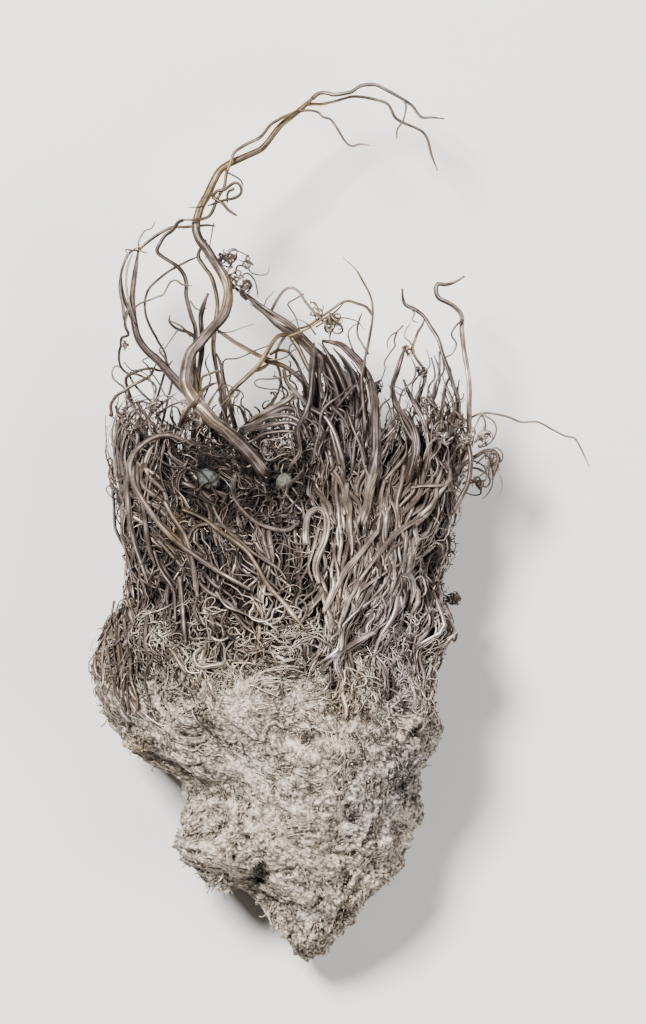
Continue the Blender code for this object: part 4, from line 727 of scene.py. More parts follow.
leftTwigs = [
    (0.12, 0.06, dull, [(-15.1, 44.3, 14.2), (-15.1, 44.8, 14.3), (-14.8, 45.4, 14.4), (-14.4, 45.9, 14.5),
        (-13.8, 46.1, 14.4), (-13.4, 46.9, 14.3)]),
    (0.2, 0.13, dull, [(-15.5, 36.4, 13.4), (-16.3, 38.4, 12.7), (-16.7, 39.6, 12.5), (-16.9, 40.6, 12.4),
        (-16.9, 41.6, 12.5), (-16.6, 42.6, 12.8), (-16.2, 43.5, 13.2), (-15.3, 44.2, 13.8)]),
    (0.15, 0.1, bright, [(-15.4, 36.6, 14.7), (-16, 38.6, 14.9), (-16.3, 40.4, 14.8), (-16.3, 41.5, 14.7),
        (-16.1, 42.6, 14.5), (-15.7, 43.6, 14.3)]),
    (0.11, 0.07, dull, [(-15, 43.9, 14.2), (-15.7, 43.9, 14.5), (-16.4, 44, 14.6), (-16.2, 43.6, 14.7)]),
    (0.11, 0.06, golden, [(-15.2, 44, 14.4), (-14.6, 43.7, 14.6), (-14.2, 43.7, 14.6)]),
    (0.17, 0.11, dull, [(-15.9, 38.6, 13.9), (-16.4, 37.2, 13.9), (-16.4, 36.3, 13.8), (-16.1, 35.5, 13.7),
        (-16.8, 35.2, 13.5), (-16.9, 34.4, 13.2), (-17.1, 33.7, 12.9), (-17, 32.5, 12.6),
        (-16.3, 31.7, 12.4), (-15.4, 31.6, 12.4), (-14.5, 31.2, 12.4), (-13.7, 30.7, 12.4),
        (-13.4, 30.1, 12.4), (-13.6, 29.3, 12.2), (-13.6, 28.2, 12)]),
    (0.12, 0.1, dull, [(-16.3, 28, 12), (-16.5, 30, 12.2), (-17.2, 30.7, 12.3), (-17.7, 31.2, 12.3),
        (-17.8, 31.9, 12.3), (-17.5, 32.4, 12.3), (-17, 32.3, 12.4), (-16.4, 31.8, 12.4)]),
    (0.18, 0.15, golden, [(-17.8, 27.4, 13.2), (-17.9, 28.5, 13.4), (-17.3, 29.4, 13.6),
        (-16.5, 29.9, 13.7), (-15.6, 30.5, 13.8), (-14.6, 31, 13.8), (-13.9, 31.5, 13.8),
        (-13.4, 32.6, 13.6)]),
    (0.08, 0.06, dull, [(-16.6, 32.8, 12.8), (-16.1, 32.2, 12.8), (-15.5, 31.8, 12.6)]),
    (0.13, 0.1, dull, [(-16.1, 31.5, 12.6), (-15.6, 30.6, 13), (-15, 29.9, 13.2), (-14.4, 29.3, 13.4),
        (-13.8, 28.7, 13.6), (-13.2, 27.6, 13.6)]),
    (0.09, 0.07, dull, [(-14.1, 33.2, 14.8), (-14.7, 32.9, 14.8), (-14.2, 32.4, 14.9), (-13.9, 31.8, 15),
        (-13.5, 31.3, 15), (-13.1, 30.7, 15.1), (-12.7, 29.9, 15.2), (-12.3, 29.3, 15.4),
        (-11.5, 28.9, 15.6)]),
    (0.26, 0.07, bright, [(-14.6, 26.4, 15.2), (-13.8, 27.6, 15.8), (-12.9, 28.4, 16.2),
        (-12.1, 29.1, 16.4), (-11.2, 29.7, 16.4)]),
    (0.12, 0.1, bright, [(-15.1, 28.7, 14.6), (-14.6, 28.8, 14.8), (-13.8, 28.5, 15), (-13, 28.6, 15.2)]),
    (0.19, 0.15, dull, [(-15.2, 28.7, 14.6), (-14.7, 27.9, 15), (-14.1, 27.1, 15.6), (-13.4, 26.3, 16.2),
        (-12.4, 25.8, 16.8), (-11.5, 25.4, 17.4), (-10.6, 24.6, 17.8), (-9.6, 23.6, 18)]),
    (0.13, 0.1, dull, [(-16.5, 29.8, 13.4), (-16, 28.9, 13.8), (-15.6, 28.3, 14.2), (-15, 27.4, 14.8),
        (-14.4, 26.8, 15.2), (-13.8, 26.2, 15.8), (-13.5, 25, 16.4)]),
    (0.16, 0.12, dull, [(-17.4, 28.4, 13.8), (-16.9, 27, 14.4), (-16.2, 25.8, 15), (-15.4, 24.9, 15.8),
        (-14.4, 24.2, 16.4)]),
    (0.08, 0.05, bright, [(-15.7, 25.8, 16), (-15, 26.2, 16.4), (-14.3, 26.5, 16.6), (-13.4, 26.5, 16.8)]),
    (0.08, 0.06, bright, [(-16.7, 26.8, 15), (-15.9, 26.5, 15.6), (-15.3, 26.9, 15.8), (-14.6, 26.6, 16)]),
    (0.14, 0.11, golden, [(-8.9, 29.8, 17.4), (-8.7, 31.1, 17.8), (-7.9, 31.5, 18), (-7, 31.8, 18),
        (-6.7, 31.3, 17.8), (-6.8, 30.6, 17.6), (-7.3, 29.7, 17.2), (-7.9, 28.9, 16.8),
        (-8.5, 27.8, 16.2)]),
    (0.25, 0.29, bright, [(-9.4, 24.4, 17.6), (-10.6, 24.9, 18.2), (-11.6, 25.3, 18.3), (-12.6, 25.4, 18.2),
        (-13.6, 25.1, 18), (-14.6, 24.5, 17.9), (-15.5, 23.6, 17.8), (-15.9, 22.4, 17.8), (-15.7, 21, 17.9),
        (-15.1, 19.6, 18.2)]),
    (0.3, 0.13, dull, [(-11, 26, 17.8), (-10.6, 27, 19), (-9.9, 28.1, 20.8), (-9.1, 29, 21.2),
        (-8.5, 29.9, 20.6), (-7.8, 30.4, 19.6), (-7.1, 30.6, 18.8)]),
    (0.2, 0.16, dull, [(-9.6, 33.4, 17.6), (-9.5, 32.6, 17.6), (-9.3, 31.6, 17.6), (-9, 30.6, 17.4),
        (-8.6, 29, 17), (-8, 27, 16.4)]),
    (0.13, 0.11, golden, [(-9.7, 32.2, 18.2), (-9.4, 31.2, 18.4), (-9.3, 30.3, 18.4), (-9.2, 29, 18)]),
    (0.13, 0.1, dull, [(-7, 30.5, 17), (-6.8, 29.6, 17.2), (-7, 28.9, 17.4), (-6.7, 28.1, 17.6),
        (-6.4, 27.2, 18), (-6.1, 26.2, 18.2)]),
    (0.09, 0.06, bright, [(-4.4, 26.6, 18.8), (-4.4, 27.4, 19), (-4.5, 28.1, 19), (-4.8, 28.4, 19),
        (-5.2, 28, 18.8), (-5, 27.4, 18.6)]),
    (0.1, 0.07, dull, [(-5.8, 29.9, 17.4), (-5, 29.8, 17.6), (-5.2, 29.3, 17.8), (-5.5, 29, 17.8),
        (-5.6, 28.2, 17.6), (-5.4, 27.4, 17.4)]),
    (0.13, 0.08, dull, [(-13.4, 27.2, 15.6), (-12.9, 27.7, 16), (-12.2, 28.2, 16.4), (-11.3, 28.6, 16.6),
        (-10.6, 28.7, 16.8), (-10, 28.5, 17)]),
    (0.1, 0.07, bright, [(-13.2, 28.9, 16), (-13, 29.3, 16), (-12.2, 29.4, 16.2), (-11.6, 29.2, 16.3),
        (-11, 28.7, 16.4)]),
    (0.13, 0.1, bright, [(-10.6, 26.6, 18), (-10.1, 26.8, 18.4), (-9.3, 26.9, 18.8), (-8.5, 26.5, 18.8)]),
    (0.09, 0.06, dull, [(-9.9, 38.8, 15.7), (-9.5, 38.2, 15.8), (-9, 37.9, 15.7), (-8.2, 38.1, 15.4)]),
    (0.2, 0.1, dull, [(-8.9, 34.2, 14.2), (-9.8, 35.5, 14.8), (-10.9, 35.9, 15.2), (-11.5, 36.2, 15.5),
        (-12, 36.8, 15.7), (-11.9, 37.4, 15.8)]),
    (0.14, 0.08, golden, [(-9.9, 35.3, 14.9), (-10.7, 36.2, 15.5), (-11.4, 36.6, 15.9),
        (-12.1, 36.9, 16.1)]),
    (0.08, 0.05, bright, [(-11.1, 36, 15.4), (-11.9, 34.9, 15), (-12.6, 34, 14.6), (-13.4, 33.5, 14.4)]),
    (0.14, 0.1, dull, [(-13, 26, 11.8), (-12.2, 29, 13.2), (-11.8, 31.2, 13.8), (-12.4, 33, 14.2),
        (-13, 33.9, 14.3), (-12.6, 34.6, 14.2)]),
    (0.12, 0.08, dull, [(-9.2, 25.4, 12.8), (-9, 28, 14.8), (-8.2, 30, 15.8), (-7.9, 31.2, 16),
        (-8.4, 32.6, 15.8), (-8, 33.6, 15.6)]),
    (0.22, 0.16, dull, [(-7, 25.4, 12), (-6.4, 28, 14), (-6.6, 30.4, 15), (-6.9, 32.4, 15.4),
        (-7.3, 33.6, 15.4)]),
    (0.1, 0.07, dull, [(-7.2, 26.4, 15), (-6.2, 28.6, 16.8), (-5.5, 29.8, 17.2), (-6.2, 30.4, 17.3),
        (-7.2, 29.8, 17.2), (-8, 28.4, 16.9), (-8.6, 27.2, 16.2)]),
    (0.09, 0.06, bright, [(-12.8, 25.6, 13.8), (-13.4, 28, 14.2), (-13.6, 30, 14.2), (-14.2, 31.4, 14.2),
        (-15.6, 32, 13.8), (-16.4, 31.2, 13.6)]),
    (0.07, 0.05, bright, [(-7.2, 35.6, 17.2), (-5.8, 35.7, 17.4), (-4.8, 36.1, 17.3), (-3.4, 36.5, 17)]),
    (0.1, 0.07, dull, [(-6.1, 29.6, 15.6), (-6.6, 31.6, 16), (-6.5, 32.9, 16.2), (-5.1, 33.1, 16.4),
        (-3.3, 33.9, 16.3), (-1.7, 34.5, 16)]),
]
middleTwigs = [
    (0.1, 0.06, bright, [(-5.4, 41.6, 15.4), (-5.2, 42.3, 15.6), (-4.3, 42.2, 15.7), (-3.8, 41.6, 15.7),
        (-2.8, 41.4, 15.6), (-2.2, 41.6, 15.5), (-2, 42.4, 15.4)]),
    (0.1, 0.06, dull, [(-5.9, 42.4, 15.2), (-6.2, 43.4, 15), (-5.6, 43.9, 15), (-4.7, 43.6, 15.1),
        (-4, 43.1, 15.1), (-4.4, 42.7, 15), (-5.2, 43, 14.9)]),
    (0.17, 0.11, dull, [(-5.1, 39.8, 14.8), (-6, 40.8, 14.6), (-6.6, 42, 14.4), (-6.9, 42.8, 14.4),
        (-6.4, 43.3, 14.6), (-5.8, 42.9, 14.8), (-6, 42.2, 15), (-6.6, 42.4, 15.1)]),
    (0.09, 0.06, dull, [(-5, 39.9, 15.2), (-5.8, 40.5, 15.5), (-6, 41.3, 15.6), (-5.5, 41.6, 15.6),
        (-5.1, 41, 15.5), (-5.5, 40.4, 15.3)]),
    (0.19, 0.12, dull, [(-4.3, 39, 15), (-4.9, 39.6, 15.5), (-4.7, 40.4, 15.8), (-4.2, 40.9, 15.7),
        (-3.9, 40.3, 15.4), (-4.3, 39.7, 15.1)]),
    (0.1, 0.07, bright, [(-5.1, 41.1, 15), (-4.3, 41.6, 15.3), (-3.6, 41, 15.4), (-3.3, 40.1, 15.3),
        (-3.2, 39.2, 15.1)]),
    (0.08, 0.05, dull, [(-2.6, 38.2, 15), (-2.3, 39, 15.4), (-1.8, 39.5, 15.5), (-1.5, 39.9, 15.4)]),
    (0.24, 0.16, dull, [(4.2, 29.6, 14.4), (3.4, 31.6, 15.2), (2.3, 33.2, 15.6), (1, 34.7, 15.6),
        (-0.6, 36, 15.6), (-2.2, 37.3, 15.5), (-3.6, 38.6, 15.4), (-4.6, 39.6, 15.3)]),
    (0.2, 0.12, bright, [(2.9, 32.4, 13.8), (1.6, 34.2, 14), (0, 35.4, 14.2), (-1.4, 36.4, 14.4),
        (-2.6, 37.6, 14.6), (-4, 38.6, 14.8)]),
    (0.16, 0.09, dull, [(-0.4, 35.5, 14.6), (-1.2, 34.2, 14.4), (-1.4, 33, 14.2), (-1, 31.6, 14),
        (-0.8, 30.4, 13.4), (-0.4, 28.6, 12.6)]),
    (0.1, 0.07, bright, [(1.4, 39.5, 16.2), (0.4, 38.9, 16.5), (-0.2, 38.5, 16.6), (0.2, 37.8, 16.6),
        (0.6, 37.1, 16.5), (0.9, 36, 16.3)]),
    (0.13, 0.1, golden, [(3.9, 36.4, 17.4), (4, 37.4, 17.7), (4.4, 36.9, 17.9), (5.1, 36.3, 17.9),
        (5.2, 35.7, 17.8), (4.6, 35.5, 17.6), (4, 36, 17.4)]),
    (0.12, 0.08, golden, [(-0.2, 35.2, 17), (1.6, 35.9, 17), (3, 36.8, 17), (4.4, 37.6, 16.8),
        (5.4, 38.6, 16.4)]),
    (0.09, 0.05, golden, [(2.6, 36.2, 16), (4, 37, 16.2), (5.4, 37.1, 16.2), (6.6, 36.8, 16.1),
        (7.4, 36, 15.9)]),
    (0.1, 0.06, dull, [(6.4, 33.6, 17.8), (6, 34.6, 17.8), (5.8, 35.5, 17.6), (6.2, 36.2, 17.4),
        (7, 36.6, 17.2)]),
    (0.14, 0.09, bright, [(7.8, 33.4, 18.6), (7.2, 34.4, 18.6), (6.7, 35.4, 18.2), (6.8, 36.6, 17.8),
        (7.2, 37.6, 17.4)]),
    (0.08, 0.05, dull, [(4, 35.2, 17.6), (4.2, 36.2, 17.9), (3.9, 37.2, 17.8), (4.1, 38, 17.6)]),
    (0.08, 0.05, dull, [(2.6, 35.4, 17.4), (1.8, 36.4, 17.6), (0.8, 36.9, 17.5), (-0.1, 36.6, 17.2)]),
    (0.28, 0.2, dull, [(7.6, 22.6, 19.6), (7, 25, 19.4), (6.4, 27.2, 19), (5.6, 29.6, 18.4),
        (4.8, 31.6, 18), (3.8, 33.4, 17.4), (3.2, 34.6, 16.8)]),
    (0.26, 0.18, bright, [(4.9, 22.4, 19.8), (4.2, 25.4, 19.9), (3.4, 28, 19.4), (3, 30.6, 18.8),
        (2.6, 33, 17.8), (2.4, 34.6, 16.8)]),
    (0.22, 0.16, dull, [(0.5, 23, 18.8), (1, 25.4, 19.4), (1.8, 27.6, 19.6), (2.1, 29.6, 19.4),
        (2, 31.8, 18.8), (2.3, 34.2, 17.4)]),
    (0.2, 0.13, dull, [(7, 24.4, 18.4), (7.1, 27, 18.2), (6.9, 29.4, 17.6), (6.4, 31.4, 17),
        (5.6, 32.8, 16.6), (4.4, 34, 16.4)]),
    (0.18, 0.12, bright, [(3.6, 25.6, 20.2), (4.6, 28, 20), (6, 29.8, 19.6), (7, 30.9, 19.2)]),
    (0.16, 0.1, bright, [(8.2, 20.6, 20.6), (7.4, 22.2, 21), (7, 24.2, 21), (6.2, 26.2, 20.8),
        (5.6, 28, 20.4)]),
    (0.1, 0.07, bright, [(0.9, 31.8, 16.6), (0.3, 31.6, 16.8), (-0.2, 31.3, 17), (-1.2, 31.1, 17.2),
        (-2, 31, 17.2), (-3, 31, 17.2), (-3.5, 30.7, 17.2), (-3.3, 30.3, 17.2), (-2.7, 30.1, 17),
        (-1.9, 30, 17), (-1.3, 30, 17), (-0.7, 29.7, 16.8), (0, 29, 16.6)]),
    (0.14, 0.12, dull, [(-2.8, 32.9, 16.2), (-2, 32.6, 16.4), (-1.3, 32.4, 16.4), (-1, 31.8, 16.2),
        (-0.9, 31, 16), (-1, 30.2, 16), (-1.3, 29.4, 16), (-1.8, 28.8, 16), (-1.8, 27.6, 16)]),
    (0.2, 0.16, golden, [(-3.6, 32, 17), (-3.2, 31.9, 17), (-2.6, 32.2, 16.9), (-2, 32.6, 16.6)]),
    (0.11, 0.08, dull, [(-2.7, 33, 16.8), (-1.8, 32.9, 17), (-0.9, 33, 17), (-0.2, 33.3, 17),
        (0.1, 33.7, 17), (0.7, 34, 17)]),
    (0.16, 0.13, dull, [(-2, 33.5, 15.6), (-1.3, 33.9, 15.8), (-0.6, 33.9, 15.8), (-0.1, 33.7, 15.8),
        (0.3, 33.2, 15.8), (0.7, 32.6, 15.8), (1.1, 31.7, 15.8), (1.6, 30.8, 15.8), (2.2, 29.6, 15.8)]),
    (0.09, 0.06, bright, [(-0.1, 33.6, 17.2), (0, 34.2, 17.4), (0.3, 34.5, 17.4), (0.7, 34.2, 17.4),
        (0.5, 33.8, 17.3)]),
    (0.24, 0.2, golden, [(0.1, 35.2, 15.6), (0.8, 34.2, 15.8), (1.3, 33.2, 16), (1.7, 32.4, 16.2),
        (2.2, 31.4, 16.2), (2.6, 30, 16.2)]),
    (0.2, 0.28, bright, [(-0.6, 31.9, 17.4), (-0.4, 31.1, 18), (-0.1, 30.4, 18.6), (0.5, 29.7, 19.2),
        (1.1, 29.1, 19.8), (1.6, 28.5, 20.2), (2.2, 28, 20.6), (2.9, 27.6, 20.9), (3.6, 27.1, 21.1),
        (4.1, 26.3, 21.3), (4.5, 25.4, 21.4), (4.8, 24.3, 21.4), (5.1, 23.2, 21.3), (5.4, 21.8, 21)]),
    (0.24, 0.2, dull, [(2.4, 34, 18.2), (2.3, 32.6, 19.2), (2.2, 31.3, 20), (2.1, 30, 20.6),
        (1.9, 28.7, 21), (1.5, 27.5, 21.2), (1.1, 26.7, 21.2), (0.8, 25.9, 21.2), (0.9, 25, 21.2),
        (1, 24.3, 21.1), (0.9, 23.5, 21), (0.3, 22.7, 21), (-0.2, 21.7, 21)]),
    (0.18, 0.15, bright, [(2.8, 33.4, 18.4), (3.1, 32.8, 19), (3, 31.8, 19.8), (3, 30.8, 20.4),
        (3.2, 29.8, 20.8), (3.5, 29, 21), (4, 28.4, 21.2), (4.7, 27.7, 21.2), (5.3, 27, 21.2),
        (5.9, 25.8, 21.1)]),
    (0.12, 0.17, bright, [(6, 30.2, 20.6), (4.9, 29.2, 21.4), (4, 28.6, 21.7), (3.4, 28, 21.8),
        (3.1, 27.4, 21.8), (3, 26.6, 21.8), (2.9, 25.5, 21.6), (2.6, 24.5, 21.4), (2.4, 23.4, 21.2),
        (2.1, 22.4, 21)]),
    (0.28, 0.26, bright, [(-5.2, 25.9, 18), (-4.2, 26.2, 18.6), (-3.2, 26.6, 19), (-2.2, 27.1, 19.4),
        (-1.2, 27.3, 19.8), (-0.2, 27.3, 20), (0.6, 27, 20.2), (1.3, 26.4, 20.2), (1.8, 25.2, 20)]),
    (0.27, 0.24, dull, [(-5.6, 25, 18), (-4.7, 25.6, 18.6), (-3.9, 26, 19), (-3, 26.1, 19.4),
        (-2, 26.4, 19.8), (-1, 26.6, 20), (0.1, 26.6, 20.2), (0.9, 26.2, 20.3), (1.5, 25, 20.2)]),
    (0.34, 0.28, golden, [(-4, 26.6, 17.8), (-3.3, 27.1, 18.2), (-2.6, 27.5, 18.6), (-1.8, 28, 18.8),
        (-1, 28.5, 19), (-0.2, 28.9, 19.2), (0.4, 29.5, 19.2)]),
    (0.36, 0.28, dull, [(-3, 26.8, 18.2), (-2.2, 27.3, 18.6), (-1.4, 27.8, 19), (-0.5, 28.1, 19.2),
        (0.3, 28, 19.4), (0.9, 27.5, 19.6), (1.6, 26.6, 19.6), (2.2, 25.2, 19.4)]),
    (0.14, 0.12, bright, [(-6, 24.5, 18.8), (-5.2, 24.5, 19.2), (-4.3, 24.6, 19.6), (-3.4, 25, 19.8),
        (-2.6, 25.5, 20), (-1.7, 25.7, 20.2), (-0.5, 25.8, 20.3), (0.6, 25.7, 20.4)]),
    (0.13, 0.12, dull, [(0.3, 25.8, 20.2), (0.2, 24.8, 20.4), (0.4, 23.9, 20.4), (0.5, 22.8, 20.4)]),
    (0.11, 0.09, bright, [(-3.7, 24.6, 19.8), (-2.9, 24, 20.1), (-2.5, 23.2, 20.3), (-2.2, 22.9, 20.4),
        (-1.6, 23, 20.5), (-0.9, 23.4, 20.5), (-0.1, 23.6, 20.5)]),
    (0.12, 0.09, bright, [(-2.3, 25.1, 19.2), (-1.9, 24.6, 19.4), (-1.9, 24, 19.4), (-1.6, 23.4, 19.2)]),
    (0.12, 0.09, bright, [(-1.4, 25.1, 19), (-1.5, 24.5, 19.4), (-1.1, 24.9, 19.6), (-0.6, 25.2, 19.4)]),
    (0.12, 0.09, bright, [(-0.8, 25.1, 18.8), (-1.2, 24.4, 19.2), (-1.6, 24, 19.3), (-0.9, 23.7, 19.3),
        (-0.4, 24.1, 19.2)]),
    (0.11, 0.08, dull, [(-9.8, 22.4, 18.6), (-8.9, 21.9, 20), (-8.1, 21, 20.2), (-7.6, 20.1, 19.9),
        (-7, 19, 19)]),
    (0.09, 0.07, bright, [(-9.2, 19.8, 19), (-8.5, 20.6, 20), (-7.6, 21, 20.1), (-6.6, 21.9, 19.4)]),
]
rightTwigs = [
    (0.1, 0.06, bright, [(11.3, 36.4, 15), (10.7, 35.8, 15.2), (10.1, 35.4, 15.2), (9.7, 34.7, 15.1),
        (9.8, 34, 15)]),
    (0.09, 0.06, bright, [(10.7, 35.8, 15.1), (10.4, 34.9, 15.2), (10.5, 34.4, 15.2), (10, 33.7, 15.1),
        (9.4, 32.7, 14.9), (9.5, 32.2, 14.8), (9.2, 31.2, 14.6), (8.7, 30.2, 14.4), (9, 28.4, 13.8)]),
    (0.3, 0.16, dull, [(16.3, 17.9, 17.6), (17, 19.2, 17.8), (17.6, 20.4, 17.4), (17.9, 21.6, 16.8),
        (18, 22.8, 16.2), (17.8, 24.2, 15.8), (17.3, 25.6, 15.6), (16.8, 27.2, 15.6), (16.6, 29, 15.6),
        (16.9, 31, 15.2)]),
    (0.12, 0.08, bright, [(17.2, 24, 15), (18.4, 26.2, 15.2), (19.1, 27.5, 15.2), (19.6, 27.3, 15.3),
        (20.3, 26.8, 15.2), (20.6, 26, 15), (20.3, 25.1, 14.8), (19.7, 24.5, 14.6), (19, 24.2, 14.4)]),
    (0.1, 0.07, dull, [(18.6, 22.6, 14), (19.6, 23.6, 14.6), (20.4, 24.2, 14.8), (21.1, 23.8, 14.8),
        (21.2, 23, 14.6), (20.6, 22.6, 14.4), (20, 23, 14.6), (20.2, 23.7, 14.9), (20.8, 23.6, 15)]),
    (0.1, 0.07, dull, [(19.2, 23.8, 14.6), (19.9, 23.1, 14.6), (20.2, 21.8, 14.4), (20.2, 20.6, 14.2),
        (19.8, 19.7, 14), (19.2, 19.1, 13.8)]),
    (0.08, 0.05, bright, [(20.4, 22.6, 14.2), (21, 21.4, 14), (21.2, 20.4, 13.8), (20.9, 19.5, 13.7)]),
    (0.12, 0.09, dull, [(17.2, 20.6, 14.8), (18.1, 21, 14.8), (18.9, 20.3, 14.6), (19, 19.6, 14.4),
        (18.2, 19.5, 14.4), (17.2, 19.9, 14.6)]),
    (0.14, 0.09, dull, [(16.9, 21.4, 13.8), (18.2, 22.2, 14), (19.4, 21.8, 14), (20, 21, 13.8),
        (19.6, 20.3, 13.6), (18.8, 20.6, 13.6)]),
    (0.1, 0.06, golden, [(12.4, 33.6, 17.3), (12, 34.6, 17.4), (11.4, 35.2, 17.4), (11.6, 36, 17.2),
        (12.1, 36.6, 17)]),
    (0.1, 0.06, dull, [(11.2, 38.9, 14.8), (11.9, 38.2, 15.1), (12.4, 37.6, 15.4), (12.2, 36.9, 15.6),
        (12.8, 36.6, 15.7)]),
    (0.14, 0.09, bright, [(12.2, 24.8, 19.9), (11.2, 26.6, 19.8), (10.8, 28.2, 19.4), (11.2, 29.8, 19),
        (12.2, 30.8, 18.6), (12.5, 32, 18.2), (12, 33.2, 17.9)]),
    (0.13, 0.08, dull, [(13.6, 25.2, 17.6), (13.6, 27.6, 17.6), (12.9, 29.4, 17.6), (13.1, 31.2, 17.6),
        (13.9, 32.4, 17.2), (13.6, 34, 16.8)]),
    (0.14, 0.09, dull, [(14.6, 24.4, 17.6), (14.8, 26.6, 17.4), (14.2, 28.6, 17.2), (14.5, 30.6, 16.8),
        (15.3, 31.8, 16.6), (15.1, 33.4, 16.2)]),
    (0.11, 0.07, bright, [(17.3, 37, 13.6), (16.6, 36.4, 14), (16.1, 35.5, 14.2), (16.6, 34.6, 14.2),
        (16.2, 33.6, 14.2), (15.3, 33, 14.2), (15.5, 31.9, 14.2)]),
    (0.1, 0.06, dull, [(14.3, 26.4, 18.2), (15, 28, 18.2), (16, 28.8, 18), (16.3, 29.8, 17.8),
        (15.8, 30.6, 17.6)]),
    (0.1, 0.07, bright, [(14, 24.4, 19), (14.1, 25.9, 19.4), (15, 26.8, 19.2), (15.6, 26.2, 19),
        (15.4, 25.4, 18.8)]),
    (0.1, 0.07, dull, [(13.3, 32.2, 17), (12.6, 31.1, 17.2), (12.2, 30.5, 17.3), (12.1, 29.6, 17.2)]),
    (0.2, 0.16, dull, [(13.4, 31.6, 16.8), (13.3, 30.4, 16.8), (12.8, 29.7, 17), (12.5, 28.9, 17.2),
        (12.4, 27.6, 17.4)]),
    (0.1, 0.15, dull, [(14.1, 33.2, 15.4), (14.4, 32, 15.6), (14.4, 31.1, 15.8), (13.9, 30.4, 16),
        (13.7, 29.5, 16.4), (13.6, 28.5, 16.8), (13.7, 27.2, 17.2)]),
    (0.12, 0.18, dull, [(14.9, 33.8, 15.2), (14.9, 32.4, 15.4), (14.8, 31.4, 15.6), (14.7, 30.4, 15.8),
        (14.5, 29.5, 16.2), (14.1, 28.6, 16.8), (14, 27.4, 17.2)]),
    (0.12, 0.14, golden, [(15.6, 32.6, 15.8), (16, 31.7, 15.9), (15.6, 30.5, 16.2), (15.4, 29.3, 16.6),
        (15.3, 28.3, 17), (15.1, 27.2, 17.4), (15, 25.8, 17.6)]),
    (0.07, 0.11, bright, [(17.3, 29.6, 16.4), (17.2, 29.1, 16.6), (16.7, 28.8, 16.8), (16.1, 28.3, 17.2),
        (15.5, 27.8, 17.6)]),
    (0.09, 0.08, bright, [(13.3, 28.8, 17.8), (13.6, 29.1, 17.9), (14, 28.6, 18), (14.5, 28.2, 18.1),
        (15, 28.3, 18)]),
    (0.12, 0.09, bright, [(14.3, 26.9, 18.6), (13.6, 27, 18.8), (13.5, 26.3, 19), (13.7, 25.6, 19.2),
        (14.3, 25.4, 19.3), (15.1, 25.6, 19.2), (16, 25.8, 18.8), (16.6, 26.3, 18.2)]),
    (0.1, 0.09, bright, [(15.1, 25.7, 19.3), (15.4, 25.3, 19.4), (15, 25, 19.5), (14.5, 25.1, 19.6),
        (13.9, 24.6, 19.7), (13.5, 23.9, 19.8), (13.2, 22.8, 19.8)]),
    (0.06, 0.06, bright, [(10.4, 30.3, 19), (11.1, 29.9, 19.4), (11.5, 29.7, 19.4), (11.2, 29.3, 19.4),
        (10.6, 29.6, 19.4), (10.5, 29.9, 19.4)]),
    (0.07, 0.06, dull, [(10.6, 27.6, 19.2), (9.9, 26.6, 18.8), (9.5, 25.5, 18.4), (9.3, 24, 18.2)]),
    (0.07, 0.06, dull, [(10.7, 27.5, 19.4), (10.2, 26.5, 19), (9.9, 25.3, 18.8), (9.8, 23.8, 18.6)]),
    (0.08, 0.06, dull, [(10.8, 27.4, 19.4), (10.6, 26.3, 19.2), (10.3, 25.2, 19), (10.1, 23.6, 18.8)]),
    (0.12, 0.08, golden, [(18.6, 27.4, 14.8), (18.9, 27.6, 14.9), (19.3, 27.2, 15), (19.5, 26.5, 15),
        (19.4, 25.4, 14.8)]),
    (0.08, 0.06, bright, [(17.4, 26.2, 15), (18.2, 26.2, 15), (18.5, 25.8, 15), (18.3, 25.1, 14.8),
        (18.2, 24.2, 14.6)]),
    (0.07, 0.05, bright, [(18.7, 25, 14.8), (19.2, 25.4, 14.9), (19.7, 25.3, 14.9), (19.7, 24.8, 14.8),
        (19, 24.3, 14.6)]),
    (0.1, 0.08, dull, [(17.6, 22.6, 14.4), (18.2, 22.9, 14.6), (19, 22.6, 14.7), (19.5, 22.1, 14.7),
        (19.6, 21.2, 14.6), (19.2, 20.8, 14.5), (18.8, 21.3, 14.4), (18.2, 21.3, 14.3)]),
    (0.12, 0.08, dull, [(9.6, 22, 17), (9.4, 24.4, 17.2), (10.1, 26.4, 17), (10, 28, 16.6),
        (9.4, 29.2, 16.2)]),
]
fineWires = dict(archTwigs=archTwigs, leftTwigs=leftTwigs, middleTwigs=middleTwigs, rightTwigs=rightTwigs)

